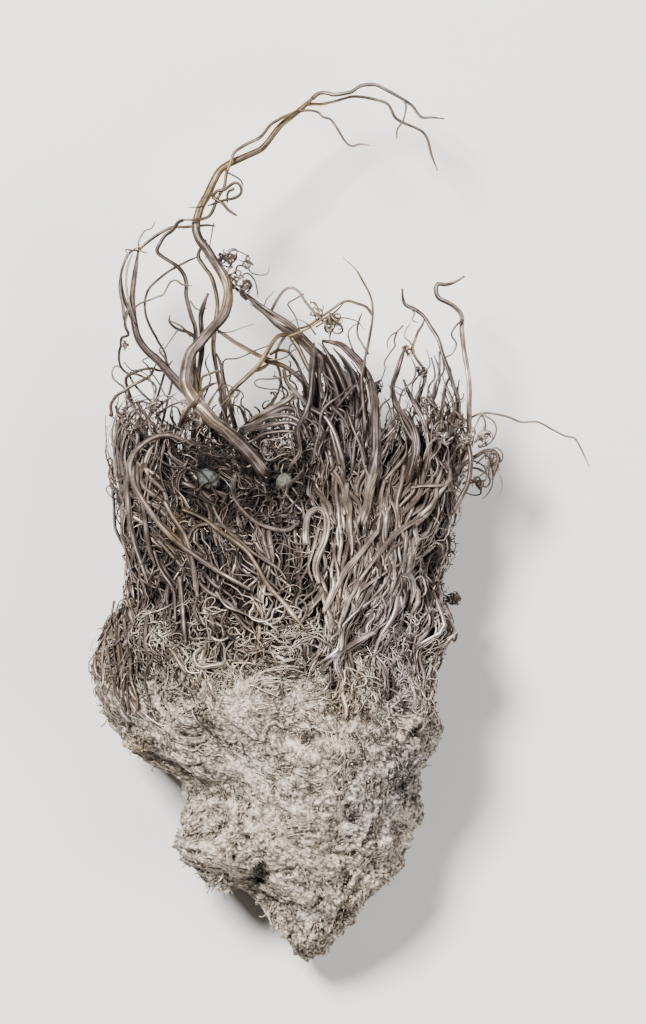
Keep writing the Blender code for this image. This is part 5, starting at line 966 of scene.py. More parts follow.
# Wires that lie on the front without a solid of their own: radii, kind, lift and (x, y) route
frontWires = [
    (0.5, 0.4, bright, 1.5, [(8.4, 25.4), (8.6, 24), (8.4, 22.5), (8.2, 20.9), (7.8, 19.2), (7.4, 17.6),
        (7.2, 16.4)]),
    (0.24, 0.18, golden, 0.2, [(-13.6, 17.4), (-12.6, 16.4), (-11.6, 15.6), (-10.8, 15), (-10.2, 14),
        (-9.8, 12.6)]),
    (0.16, 0.13, bright, 0.5, [(-7.6, 18.4), (-7, 17.2), (-6, 15.9), (-4.8, 14.9), (-3.3, 13.6),
        (-1.1, 12.3), (-0.3, 11.2)]),
    (0.24, 0.2, bright, 0.6, [(5, 15.6), (5.1, 15), (4.9, 13.5), (4.7, 11.9)]),
    (0.26, 0.22, bright, 0.7, [(4.2, 11.4), (4.3, 10.4), (3.9, 9.3), (3.3, 7.9)]),
    (0.2, 0.18, bright, 0.3, [(8, 16), (8, 15), (6.7, 13.2), (5.6, 11.9), (5, 10.9), (4.9, 9.3)]),
    (0.2, 0.18, bright, 0.3, [(4.4, 22.3), (4.6, 21.4), (4.6, 19.8), (4.8, 18.2), (4.9, 16.5),
        (5.2, 14.9)]),
    (0.22, 0.18, bright, 0.3, [(5.7, 20.6), (5.6, 18.8), (6, 16.8), (6.2, 14.6), (6.1, 13.4)]),
    (0.2, 0.16, bright, 0.4, [(9.4, 21), (9, 19), (9.4, 17), (9.2, 15.4), (9.6, 13.8)]),
    (0.18, 0.15, bright, 0.4, [(2.9, 16.4), (2.6, 15), (2.2, 13.6), (1.9, 12.4), (2.3, 11)]),
    (0.3, 0.24, bright, 0.3, [(11.4, 22.4), (11, 20.4), (10.6, 18.6), (10.8, 16.6), (11.4, 15)]),
    (0.26, 0.2, dull, 0.2, [(-5.4, 21.6), (-5.6, 20), (-5, 18.4), (-3.6, 17), (-1.8, 16.2), (-0.2, 16),
        (1, 16.8)]),
    (0.26, 0.18, dull, 0.2, [(-5.2, 15.8), (-6.6, 16.4), (-8.2, 16.6), (-9.4, 16.2), (-10, 15),
        (-9.8, 13.6)]),
    (0.16, 0.12, bright, 0.5, [(-5.8, 22.8), (-4.4, 22.2), (-3.4, 23), (-4, 24), (-5.2, 24)]),
    (0.14, 0.11, bright, 0.4, [(-2.6, 9.8), (-1.2, 9.6), (-0.4, 8.6), (-0.8, 7.4), (-2, 6.8), (-3.2, 7.2)]),
    (0.15, 0.1, bright, 0.4, [(-7.2, 10), (-6.2, 8.6), (-4.8, 8), (-3.4, 7.4), (-2.2, 7), (-1, 6)]),
    (0.2, 0.12, dull, 0.3, [(3, 2.2), (4.2, 3.4), (5.8, 4.2), (7.4, 5.2), (8.8, 6.4), (10, 7.2)]),
    (0.16, 0.12, bright, 0.4, [(6, 9.2), (7.6, 10.6), (9.4, 11.8), (11.2, 12.8), (13, 13.4), (14.4, 14.4)]),
    (0.14, 0.1, bright, 0.4, [(10.2, 11), (9.4, 12.6), (10.2, 14.2), (11.8, 15), (13.6, 15.4),
        (14.6, 16.6)]),
    (0.2, 0.16, golden, 0.2, [(-17, 8), (-17.2, 6), (-16.9, 4), (-16.6, 2), (-16.4, 0), (-16.2, -2)]),
    (0.16, 0.12, bright, 0.2, [(-17.8, 6), (-18, 4), (-17.7, 2), (-17.3, 0.2), (-17, -1.8), (-16.2, -3.6)]),
    (0.13, 0.1, dull, 0.3, [(-17.4, 9), (-17.7, 7), (-17.5, 4.8), (-17.2, 2.6), (-16.9, 0.8),
        (-16.8, -1.2)]),
    (0.14, 0.11, bright, 0.3, [(-16, 9.4), (-15.4, 7.2), (-15.3, 5), (-15, 3), (-15.2, 1)]),
    (0.2, 0.16, dull, 0.2, [(-18.3, 5), (-18.6, 3), (-18.5, 1), (-18.2, -1), (-17.4, -2.8)]),
    (0.17, 0.13, dull, 0.3, [(-16.6, 7.6), (-16.9, 5.6), (-16.5, 3.6), (-16.3, 1.4), (-16.5, -0.8)]),
    (0.15, 0.12, dull, 0.3, [(-16, 4.6), (-15.8, 2.6), (-16, 0.4), (-15.8, -2), (-15.9, -3.8)]),
    (0.12, 0.09, bright, 0.3, [(-17.9, 1.6), (-16.8, 1.5), (-15.6, 1.8), (-14.4, 1.4), (-13.2, 1.6)]),
    (0.3, 0.24, dull, 0.2, [(-16.2, 22), (-16.1, 19.4), (-15.6, 15.8), (-14.8, 13.2), (-13.9, 10.5)]),
    (0.26, 0.2, dull, 0.3, [(-15.2, 23), (-15, 20.4), (-14.4, 17.6), (-13.9, 14.2), (-13.2, 12.4)]),
    (0.3, 0.26, bright, 0.3, [(-12.4, 18.8), (-11.4, 17.1), (-10.1, 15), (-9.5, 12.4), (-9, 9.5)]),
    (0.18, 0.14, dull, 0.4, [(-13.4, 14), (-12.6, 11.9), (-11.4, 10), (-11.2, 7.1)]),
    (0.28, 0.22, dull, 0.2, [(-10.8, 11.4), (-10.5, 8.4), (-10.2, 4.8)]),
    (0.22, 0.16, dull, 0.3, [(-16.6, 18), (-16.4, 14.8), (-15.8, 12), (-15.4, 9.2)]),
    (0.22, 0.14, dull, 0.2, [(-14, 7.6), (-14.2, 5.2), (-13.8, 3), (-14.2, 1), (-13.6, -1.4)]),
    (0.08, 0.06, bright, 1, [(-16.4, 21.2), (-17.6, 20.6), (-18.3, 20.2), (-18, 19.5), (-17.4, 19)]),
]

# Light, gold and painted shade of each kind of wire
kindTone = {bright: (0.49, 0.08, 0.0), golden: (0.46, 0.5, 0.0), dull: (0.37, 0.05, 0.0)}
meanLight = 0.45                    # the ranges of light of sheaves and layers count from this

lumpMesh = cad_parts["felted_lump"].data
solidFront = BVHTree.FromPolygons([vert.co for vert in lumpMesh.vertices],
                                  [face.vertices for face in lumpMesh.polygons])


# Light, gold and painted shade at each point of some wires: those of their kind, made blotchy by noises,
# with the spots at their place and what makes each wire lighter
def wireTone(centres, kind=dull, lighter=0.0):
    light, gold, paintedShade = kindTone[kind]
    light = light + 0.10 * softNoise(centres, 3.0) + 0.06 * softNoise(centres, 0.9)
    light = light + spotsAt(centres, toneAndShadeSpots) + lighter
    gold = gold + spotsAt(centres, tintSpots) + 0.2 * softNoise(centres, 4.0)
    return np.stack([light, np.clip(gold, -1.0, 1.0), paintedShade + 0.0 * light], axis=-1)


# For wires thicker than the first number: sides round the wire, its two sets of ribs and their
# depth, and the same for each wire of a bundle
ribTable = [(0.4, 20, (5, 8), 0.24), (0.2, 12, (3, 5), 0.26), (0.0, 7, (2, 3), 0.22)]
bundleRibs = (9, (2, 4), 0.3)


# One wire along a route: evenly tapered girth with slight swellings, thinned to the tip.
# With strands it is a twisted bundle of thinner wires inside the same girth.
def wireShape(route, radii, kind, strands=1, bluntTip=False):
    thick = max(radii)
    step = 0.22 + 0.35 * thick
    centre = smoothRoute(route, step)
    share = np.linspace(0.0, 1.0, len(centre))
    girth = radii[0] + (radii[1] - radii[0]) * share
    girth = girth * (1.0 + 0.07 * softNoise(centre, 1.1) + 0.05 * softNoise(centre, 0.5))
    if not bluntTip:
        girth = girth * (1.0 - 0.5 * smoothStep(share, 0.88, 1.0))
    centre = centre + 0.16 * thick * softPush(centre, 1.7)
    centres = onTable(centre[None], 1.3 * thick)
    phase = phases()
    sides, ribs, depth = next(row[1:] for row in ribTable if thick > row[0])
    if strands > 1:
        sides, ribs, depth = bundleRibs
        side, other = carriedFrames(centres)
        angle = np.arange(strands)[:, None] * 2 * math.pi / strands + phase
        angle = angle + 0.22 * np.arange(len(centre)) * step + 0.5 * softNoise(centre, 2.0)
        shift = 9.0 * np.arange(strands)[:, None, None]
        apart = 0.56 * girth * (1.0 + 0.25 * softNoise(centre[None] + shift, 2.5))
        centres = centres + apart[..., None] * directionAt(angle, side, other)
        girth = 0.50 * girth * (1.0 + 0.3 * softNoise(centres + 5.0, 3.0))
    girth = np.broadcast_to(girth, centres.shape[:2])
    phase = phase + np.arange(len(centres))
    return tubes(centres, girth, sides, wireTone(centres, kind), ribs, depth, 0.35, phase)


# Height of the solid's front over each (x, y) of a route, smoothed, so a wire can lie on it
def laidRoute(route, lift):
    flat = np.array(route, float)
    flat = smoothRoute(np.column_stack([flat, 0.0 * flat[:, 0]]), 0.6)
    heights = []
    for x, y, _ in flat:
        hit = solidFront.ray_cast(Vector((x * mm, y * mm, 0.06)), Vector((0, 0, -1)))[0]
        heights.append(hit.z / mm if hit else (heights[-1] if heights else 18.0))
    heights = np.array(heights)
    for _ in range(2):
        padded = np.pad(heights, 1, mode="edge")
        heights = np.maximum(heights, (padded[:-2] + padded[1:-1] + padded[2:]) / 3)
    flat[:, 2] = heights + lift
    return flat


print("tables read")
# Strands of the wires that are bundles, and the wires that end blunt inside another
bundled = dict(slanting_spar=4, sheaf_outer=5, sheaf_second=3, right_bundle=4, inner_ribbon=3,
               right_bundle_partner=3, hairpin_wire=3)
bluntWires = ("arch_stem_lower", "companion_lower")
slotMaterials = {bright: wireMaterial("brightNativeSilverWire", 0.05), dull: wireSilver,
                 golden: wireMaterial("goldTarnishedNativeSilverWire", 0.02)}
laidOnLump = {node: (radii, kind, laidRoute(route, 0.6 + max(radii)))
              for node, (radii, kind, route) in laidWires.items()}
for node, (radii, kind, route) in {**freeWires, **laidOnLump}.items():
    shape = wireShape(route, radii, kind, bundled.get(node, 1), node in bluntWires)
    addPiece(node + "_ribbed", shape, slotMaterials[kind], [node])
for group, wires in fineWires.items():
    addPiece(group, joined([wireShape(route, (first, last), kind) for first, last, kind, route in wires]))
straps = [wireShape(laidRoute(route, lift + first), (first, last), kind, 3 if first > 0.4 else 1)
          for first, last, kind, lift, route in frontWires]
addPiece("frontStraps", joined(straps), slotMaterials[bright])


# A stalk of the lump as loose strands: each keeps its own place in the stalk's section, stops
# short of its end by its own share, and wanders more as it thins
def stalkShape(radii, route, strands=11, rings=20):
    centre = smoothRoute(route, 0.3)
    along = np.linspace(0.0, 1.0, rings)
    reach = (0.95 - rng.gamma(1.8, 0.13, strands)).clip(0.3)[:, None] * along
    line = readRows(reach, np.linspace(0.0, 1.0, len(centre)), centre)
    apart = np.sqrt(rng.random(strands))[:, None] * (radii[0] + (radii[1] - radii[0]) * reach) * 0.9
    angle = phases(strands, 1) + 0.6 * reach
    side, other = carriedFrames(line)
    line = line + (apart * np.cos(angle))[..., None] * side + (apart * np.sin(angle))[..., None] * other
    shift = 4.0 * np.arange(strands)[:, None, None]
    wander = (0.3 + 1.3 * reach**2)[..., None] * softPush(line + shift, 2.6)
    line = line + wander + 0.35 * softPush(line + shift, 1.1)
    girth = rng.uniform(0.08, 0.24, (strands, 1)) * max(radii) * (1.2 - 1.0 * along)
    tone = wireTone(line, lighter=rng.uniform(-0.15, 0.15, (strands, 1)))
    # Painted shade on each strand's lower part, deep in the stalk, fading out towards its end
    tone[..., 2] = 0.6 * (1.0 - smoothStep(reach, 0.3, 0.9))
    return tubes(onTable(line, 1.2 * girth), girth, 6, tone)


loose = [stalkShape(*stalk) for name, stalk in stalks.items() if name != "knob_spur"]
addPiece("stalkStrands", joined(loose))


# Strands between two traced wires: points blended from one route to the other, with a depth and a
# waver of their own, each cut off at a share of the way
def sheafShape(first, last, count, girths, depth, light, cuts=(0.75, 1.0), waver=0.25, rings=36):
    share = np.linspace(0.0, 1.0, rings)
    ends = [smoothRoute(route, 0.3) for route in (first, last)]
    ends = [readRows(share, np.linspace(0.0, 1.0, len(line)), line) for line in ends]
    blend = np.linspace(0.03, 0.97, count)[:, None, None] + rng.uniform(-0.08, 0.08, (count, 1, 1))
    line = ends[0] * (1 - blend) + ends[1] * blend
    lift = rng.uniform(*depth, (count, 1))
    line[..., 2] += lift
    index = np.arange(count)[:, None]
    place = np.round(rng.uniform(*cuts, (count, 1)) * share * (rings - 1)).astype(int)
    line = line[index, place] * 0.5 + 0.5 * line[index, np.minimum(place + 1, rings - 1)]
    smooth = line.copy()
    smooth[:, 1:-1] = (line[:, :-2] + 2 * line[:, 1:-1] + line[:, 2:]) / 4
    line = smooth + waver * softPush(smooth + 7.0 * index[..., None], 3.2)
    girth = rng.uniform(*girths, (count, 1)) * (1.1 - 0.5 * share) * (1.0 - 0.7 * smoothStep(share, 0.7, 1.0))
    tone = wireTone(line, lighter=rng.uniform(*light, (count, 1)) - meanLight)
    # Painted shade: strands set deeper, and those lower down, are darker
    tone[..., 2] = (0.75 * (depth[1] - lift) / (depth[1] - depth[0])
                    + 0.3 * (1.0 - smoothStep(line[..., 1], 19.0, 27.0)))
    return tubes(onTable(line, 0.2), girth, 6, tone)


# First and last route, strands, girths, depth, light, and for some the cuts and the waver
routeOf = {node: route for node, (_, _, route) in freeWires.items()}
sheaves = [
    ([(0.0, 21.0, 16.0), (0.8, 25.0, 17.8), (1.8, 29.0, 18.2), (2.3, 34.4, 17.2)], routeOf["sheaf_outer"],
     22, (0.08, 0.3), (-2.4, 0.4), (0.25, 0.6), (0.6, 1.0), 0.55),
    ([(0.8, 22.0, 15.0), (1.4, 26.0, 16.8), (2.2, 29.4, 17.2), (2.9, 34.2, 16.8)], routeOf["sheaf_outer"],
     15, (0.22, 0.36), (-2.6, -1.6), (0.2, 0.35), (0.75, 0.95), 0.35),
    (routeOf["right_bundle"], routeOf["right_leaning_wire"][:7],
     14, (0.07, 0.24), (-2.6, 0.6), (0.25, 0.55), (0.4, 0.8)),
    ([(9.6, 19.0, 14.0), (10.0, 23.0, 16.0), (9.8, 26.0, 16.4), (9.9, 29.0, 16.2)],
     routeOf["right_bundle"][:9], 7, (0.06, 0.12), (-1.0, 0.6), (0.4, 0.75)),
    (routeOf["slanting_spar"], [(5.4, 29.8, 13.2), (4.2, 32.2, 14.6), (2.2, 34.2, 15.0), (0.2, 35.9, 15.0),
                                (-2.0, 37.3, 14.9), (-4.4, 39.3, 14.8)],
     9, (0.13, 0.26), (-0.3, 0.9), (0.35, 0.7)),
    ([(-16.2, 12.0, 13.4), (-16.8, 17.0, 13.2), (-17.6, 21.6, 12.8), (-17.9, 25.6, 12.6),
      (-17.4, 28.4, 12.8), (-15.9, 29.8, 13.2), (-13.9, 30.0, 13.6)],
     [(-14.4, 13.0, 16.4), (-15.2, 17.0, 16.6), (-16.0, 20.4, 16.2), (-16.2, 23.6, 15.6),
      (-15.6, 26.4, 15.2), (-14.0, 28.0, 15.4), (-12.0, 28.0, 15.6)],
     15, (0.12, 0.27), (-1.0, 0.3), (0.5, 0.92), (0.82, 1.0), 0.5),
]
addPiece("sheafStrands", joined([sheafShape(*sheaf) for sheaf in sheaves]))
print("traced wires made:", len(freeWires) + len(laidWires), "over solids")


# One random value for each bundle, given to each of its strands
def perBundle(low, high, count, strands):
    return np.repeat(rng.uniform(low, high, count // strands), strands)[:, None]


# Wires that follow the skin of the lump. Each starts at a place (y, turn) with a heading, 0 for +Y,
# and bends by sines of its length; the path is the running sum of its steps over the skin, set
# in by its own depth, which waves too. Rows of bends are (amplitude, wavelength) ranges. The
# strands of a bundle share their bends and wind round each other at the distance apart.
def skinWires(count, rings, y, turn, heading, length, bends, inset, insetWave, strands=1, apart=0.0):
    def wave(low, high):
        return np.sin(2 * math.pi * travelled / perBundle(low, high, count, strands)
                      + perBundle(0, 6.28, count, strands))

    travelled = np.linspace(0.0, 1.0, rings) * length[:, None]
    angle = heading[:, None] + 0.0 * travelled
    for amplitude, wavelength in bends:
        angle = angle + perBundle(*amplitude, count, strands) * wave(*wavelength)
    step = (length / (rings - 1))[:, None]
    acrossSum = np.cumsum(np.sin(angle) * step, axis=1)
    alongSum = np.cumsum(np.cos(angle) * step, axis=1)
    middle = rings // 2
    wind = 2 * math.pi * (np.arange(count) % strands)[:, None] / strands
    wind = wind + travelled / perBundle(1.5, 4.0, count, strands)
    apart = apart * (1.0 + 0.8 * softNoise(np.stack([travelled, wind, 0.0 * wind], axis=-1), 3.0))
    yPath = y[:, None] + alongSum - alongSum[:, middle:middle + 1]
    across = acrossSum - acrossSum[:, middle:middle + 1] + apart * np.cos(wind)
    turnPath = turn[:, None] - across / lump["halfWidth"]
    return sheathSurface(yPath, turnPath, inset[:, None] + apart * np.sin(wind) + insetWave * wave(4.0, 9.0))


# The way wires run at a place on the skin: down and to the right on the left half of the front
def flowHeading(y, turn):
    x = np.cos(turn) * lump["halfWidth"]
    leftSlant = 0.75 * (1.0 - smoothStep(x, -9.0, 3.0)) * smoothStep(y, 0.0, 8.0)
    leftSlant = leftSlant * (1.0 - smoothStep(y, 18.0, 24.0))
    edge = 1.0 - smoothStep(x, -16.0, -12.5)
    return -leftSlant * (1.0 - 0.8 * edge) + 0.16 * smoothStep(x, 2.0, 10.0)


# How far up the tangle reaches at each x: it dips in the hollow and in the gap on the right
rim = np.array([
    (-20.0, 25.0), (-17.5, 28.6), (-13.0, 29.0), (-9.5, 27.4), (-7.0, 24.6), (-2.0, 24.4), (0.0, 27.0),
    (2.5, 31.0), (7.8, 31.0), (8.9, 26.0), (9.9, 24.6), (11.0, 28.5), (17.0, 29.5), (20.0, 26.0),
])


# Turns round the section, nine in ten of them on the front and the rest on the back
def frontTurns(count):
    front = rng.uniform(-0.12, 1.12, count) * math.pi
    back = rng.uniform(1.1, 1.9, count) * math.pi
    return np.where(rng.random(count) < 0.9, front, back)


# A layer of wires in the tangle, most of them in bundles that run with the flow and stop at the rim
def flowLayer(name, count, radius, length, light, paintedShade, inset, insetWave, bends, yRange, spread,
              sides=6, rings=16, lower=0.0, strands=1, apart=0.0, turns=None):
    bundles = count // strands
    turn = frontTurns(bundles) if turns is None else rng.uniform(*turns, bundles)
    heading = flowHeading(rng.uniform(*yRange, bundles), turn) + rng.normal(0.0, spread, bundles)
    heading, turn = np.repeat(heading, strands), np.repeat(turn, strands)
    lengths = perBundle(*length, count, strands)[:, 0] * rng.uniform(0.75, 1.0, count)
    top = np.interp(lump["crownHalfWidth"] * np.cos(turn), *rim.T) - rng.gamma(1.5, 1.2, count) - lower
    y = perBundle(*yRange, count, strands)[:, 0] + rng.normal(0.0, 0.8, count)
    y = np.minimum(y, top - 0.47 * lengths * np.cos(heading))
    insets = perBundle(*inset, count, strands)[:, 0]
    centres = skinWires(count, rings, y, turn, heading, lengths, bends, insets, insetWave, strands, apart)
    girth = radius[0] + (radius[1] - radius[0]) * rng.random((count, 1)) ** 2
    girth = girth * (1.0 + 0.12 * softNoise(centres, 1.5))
    ends = np.linspace(0.0, 1.0, rings)
    girth = girth * np.minimum(1.0, 0.45 + 5.0 * np.minimum(ends, 1.0 - ends))
    centres = onTable(centres, 1.2 * girth)
    tone = wireTone(centres, lighter=rng.uniform(*light, (count, 1)) - meanLight)
    nearFelt = 1.0 - smoothStep(centres[..., 1], -4.0, 10.0)
    tone[..., 0] += 0.16 * nearFelt
    rimThere = np.interp(centres[..., 0], *rim.T)
    nearRim = smoothStep(centres[..., 1], rimThere - 7.0, rimThere)
    pale = 1.0 - 2.5 * np.clip(spotsAt(centres, toneAndShadeSpots), 0.0, 0.3)
    # Painted shade: each wire's own amount, less near the felt and the rim and where the spots are light
    tone[..., 2] = rng.uniform(*paintedShade, (count, 1)) * (1.0 - 0.5 * nearFelt) * (1.0 - 0.8 * nearRim) * pale
    tone[..., 1] += rng.uniform(-0.1, 0.15, (count, 1))
    addPiece(name, tubes(centres, girth, sides, tone, ribDepth=0.36))


# From the floor of the tangle to its skin: count, girth, length, light, painted shade, inset and its wave,
# bends, stretch along Y, spread of the headings, sides and rings. The deeper layers are painted darker as
# shade.
gentle = [((0.1, 0.35), (8.0, 20.0)), ((0.1, 0.4), (3.0, 7.0))]
wavy = [((0.2, 0.6), (6.0, 14.0)), ((0.2, 0.6), (2.5, 6.0))]
curly = [((0.6, 1.8), (4.0, 10.0)), ((0.3, 1.4), (1.5, 4.0))]
flowLayer("tangleDeep", 240, (0.16, 0.34), (12, 24), (0.15, 0.35), (0.7, 0.95), (-2.4, -1.5), 0.3,
          gentle, (3, 27), 0.16, 4, lower=3.0, strands=3, apart=0.32)
flowLayer("tangleMiddle", 560, (0.09, 0.26), (12, 26), (0.18, 0.5), (0.3, 0.75), (-1.6, -0.6), 0.4,
          gentle, (1, 28), 0.16, 5, lower=1.5, strands=4, apart=0.26)
flowLayer("tangleStraps", 300, (0.09, 0.3), (8, 20), (0.3, 0.7), (0.0, 0.3), (-0.7, 0.1), 0.4,
          gentle, (0, 26), 0.16, lower=1.5, strands=3, apart=0.22)
flowLayer("tangleRight", 150, (0.1, 0.3), (9, 18), (0.4, 0.75), (0.0, 0.3), (-0.6, 0.25), 0.35,
          gentle, (6, 24), 0.12, 6, 18, lower=1.5, strands=3, apart=0.24, turns=(0.75, 1.5))
flowLayer("tangleFront", 320, (0.06, 0.15), (8, 20), (0.28, 0.75), (0.0, 0.4), (-0.9, 0.1), 0.5,
          wavy, (-1, 26), 0.26, 5, 18, lower=1.0)
flowLayer("tangleCurls", 240, (0.05, 0.11), (4, 12), (0.45, 0.95), (0.0, 0.1), (-0.5, 0.4), 0.5,
          curly, (-5, 27), 1.0, 4, 20)
flowLayer("borderCurls", 160, (0.08, 0.15), (4, 10), (0.5, 0.9), (0.0, 0.2), (-0.5, 0.4), 0.4,
          curly, (-2, 8), 2.0, 4, 20)
flowLayer("hollowCurls", 170, (0.05, 0.13), (3, 10), (0.15, 0.5), (0.2, 0.7), (-1.4, 0.3), 0.5,
          curly, (15, 25), 3.0, 4, 20, turns=(1.5, 2.25))
flowLayer("tangleHairs", 300, (0.03, 0.055), (3, 10), (0.45, 0.9), (0.0, 0.1), (-0.3, 0.5), 0.5,
          curly, (-4, 28), 1.5, 3, 14)
print("tangle made")


# Wires in the open: each leaves its start by its heading, which wanders in space by sines of its
# length, more so towards the tip, where it can turn into a curl
def openWires(starts, headings, length, rings, wander, curlTip):
    count = len(starts)
    along = np.linspace(0.0, 1.0, rings)
    travelled = along * length[:, None]
    direction = headings[:, None, :] + 0.0 * travelled[..., None]
    grow = (0.35 + 0.65 * along)[None, :, None]
    for amplitude, wavelength in wander:
        size = rng.uniform(*amplitude, (count, 1, 3))
        wave = 2 * math.pi * travelled[..., None] / rng.uniform(*wavelength, (count, 1, 3))
        direction = direction + grow * size * np.sin(wave + phases(count, 1, 3))
    spin = phases(count, 1) + 6.28 * travelled / rng.uniform(1.6, 4.0, (count, 1))
    curl = (curlTip * rng.random((count, 1)) * smoothStep(along, 0.55, 1.0)[None, :])[..., None]
    direction = direction + curl * np.stack([np.cos(spin), np.sin(spin), 0.4 * np.cos(1.7 * spin)], axis=-1)
    direction /= np.linalg.norm(direction, axis=-1, keepdims=True)
    steps = direction * (length / (rings - 1))[:, None, None]
    return starts[:, None, :] + np.cumsum(steps, axis=1) - steps[:, :1]


# Knots of small curls that cling to a wire or a rim: centre, reach, count, light
curlBalls = [
    ((-5.7, 43.1, 17.4), 0.8, 5, 0.1), ((-6.6, 43.3, 17.4), 0.5, 4, 0.05),
    ((-4.4, 42.9, 17.2), 0.6, 3, 0.1), ((-5.6, 41.0, 17.0), 0.8, 5, 0.1), ((-4.6, 40.2, 16.6), 0.6, 4, 0.1),
    ((4.3, 36.8, 15.6), 0.9, 8, 0.1), ((2.6, 37.8, 15.6), 0.6, 5, 0.1), ((-16.4, 34.6, 13.4), 0.35, 4, 0.2),
    ((11.8, 33.9, 16.8), 0.5, 5, 0.1), ((13.7, 28.9, 17.4), 0.7, 6, 0.1), ((16.2, 27.0, 16.4), 0.9, 7, 0.1),
    ((-1.8, 24.4, 19.6), 0.9, 9, 0.2), ((15.0, 25.6, 19.0), 0.9, 8, 0.2),
    ((13.1, 31.6, 17.3), 0.6, 5, 0.15), ((17.4, 25.0, 16.6), 0.7, 6, 0.1),
    ((-13.6, 28.2, 16.8), 0.9, 7, 0.15), ((-16.4, 27.6, 15.4), 0.6, 5, 0.1),
    ((-10.2, 27.2, 18.4), 0.8, 6, 0.1), ((-6.6, 26.4, 18.0), 0.7, 5, 0.1),
    ((19.2, 25.0, 14.6), 0.9, 7, 0.15), ((20.2, 22.6, 14.2), 0.9, 7, 0.2),
    ((18.8, 20.6, 14.0), 0.7, 5, 0.15), ((8.9, 30.6, 14.6), 0.6, 4, 0.1),
]


# Each curl runs round a tilted circle while it drifts along the circle's axis
def curlBall(centre, reach, count, light, rings=20):
    axes = np.linalg.qr(rng.normal(size=(count, 3, 3)))[0][:, None]
    share = np.linspace(0.0, 1.0, rings)
    turn = phases(count, 1) + rng.uniform(4.0, 11.0, (count, 1)) * share
    wide = reach * rng.uniform(0.3, 0.7, (count, 1, 1)) * (1.0 + 0.3 * np.cos(0.6 * turn[..., None]))
    drift = reach * rng.uniform(0.5, 2.0, (count, 1, 1)) * (share[:, None] - 0.5)
    curls = wide * directionAt(turn, axes[:, :, 0], axes[:, :, 1]) + drift * axes[:, :, 2]
    curls = curls + 0.4 * reach * rng.normal(size=(count, 1, 3))
    curls = np.array(centre) + curls * np.array((1.0, 1.0, 0.6))
    curls = curls + 0.15 * softPush(curls, 0.9)
    tone = wireTone(curls, lighter=light + rng.uniform(-0.1, 0.2, (count, 1)))
    girth = rng.uniform(0.07, 0.14, (count, 1)) * np.linspace(1.1, 0.6, rings)
    return tubes(curls, girth, 5, tone, ribDepth=0.2)


addPiece("curlBalls", joined([curlBall(*ball) for ball in curlBalls]))

# Crown wires by cluster: count, x, root y, z, length, lean in x, radius, light, painted shade and curl
crownClusters = dict(
    crownLeft=(54, (-17.2, -8.6), (21, 27), (6, 16), (2.5, 6.5), (-1.2, 1.2), (0.05, 0.13), 0.04, 0.3, 1.4),
    crownHollow=(44, (-8.6, -0.4), (18, 23.5), (10, 18.5), (3, 6), (-1.2, 1.2), (0.05, 0.12), 0.05, 0.3, 1),
    hollowFloor=(208, (-11, 3), (17, 27.2), (6, 12.5), (2.5, 5.5), (-1.2, 1.2), (0.09, 0.24), -0.06, 0.7, 1),
    hollowRim=(110, (-10.4, 0.6), (20, 24.6), (13, 17.4), (2, 5.5), (-2.5, 2.5), (0.05, 0.12), 0.02, 0.3, 1.7),
    crownMiddle=(50, (-0.6, 8.2), (22, 29.5), (8, 16.5), (3, 7.5), (-0.35, 0.05), (0.05, 0.17), 0, 0.5, 0.8),
    sheafCrossing=(44, (0.4, 9), (20, 29), (17.5, 20.5), (3, 9), (-0.9, 0.3), (0.05, 0.13), 0.12, 0.1, 1),
    crownRight=(90, (10.2, 17.8), (20, 27.5), (7, 16), (2, 6), (-0.9, 0.9), (0.05, 0.14), 0.09, 0.25, 1.7),
)
crownRings = 18
for name, (count, x, y, z, length, lean, radius, light, paintedShade, curl) in crownClusters.items():
    starts = np.stack([rng.uniform(*x, count), rng.uniform(*y, count), rng.uniform(*z, count)], axis=-1)
    headings = np.stack([rng.uniform(*lean, count), np.ones(count), rng.uniform(-0.1, 0.25, count)], axis=-1)
    lengths = rng.uniform(*length, count) * rng.uniform(0.6, 1.0, count)
    wander = [((0.3, curl), (4.0, 9.0)), ((0.3, 1.2 * curl), (1.6, 3.5))]
    centres = openWires(starts, headings, lengths, crownRings, wander, 3.0)
    girth = rng.uniform(*radius, (count, 1)) * np.linspace(1.15, 0.4, crownRings)[None, :]
    tone = wireTone(centres, lighter=light + rng.uniform(-0.1, 0.2, (count, 1)))
    # Painted shade near the roots, fading out between y 22 and 30
    tone[..., 2] = paintedShade * (1.0 - 0.7 * smoothStep(centres[..., 1], 22.0, 30.0))
    addPiece(name, tubes(onTable(centres, 1.2 * girth), girth, 5, tone, ribDepth=0.25))
print("crown made")


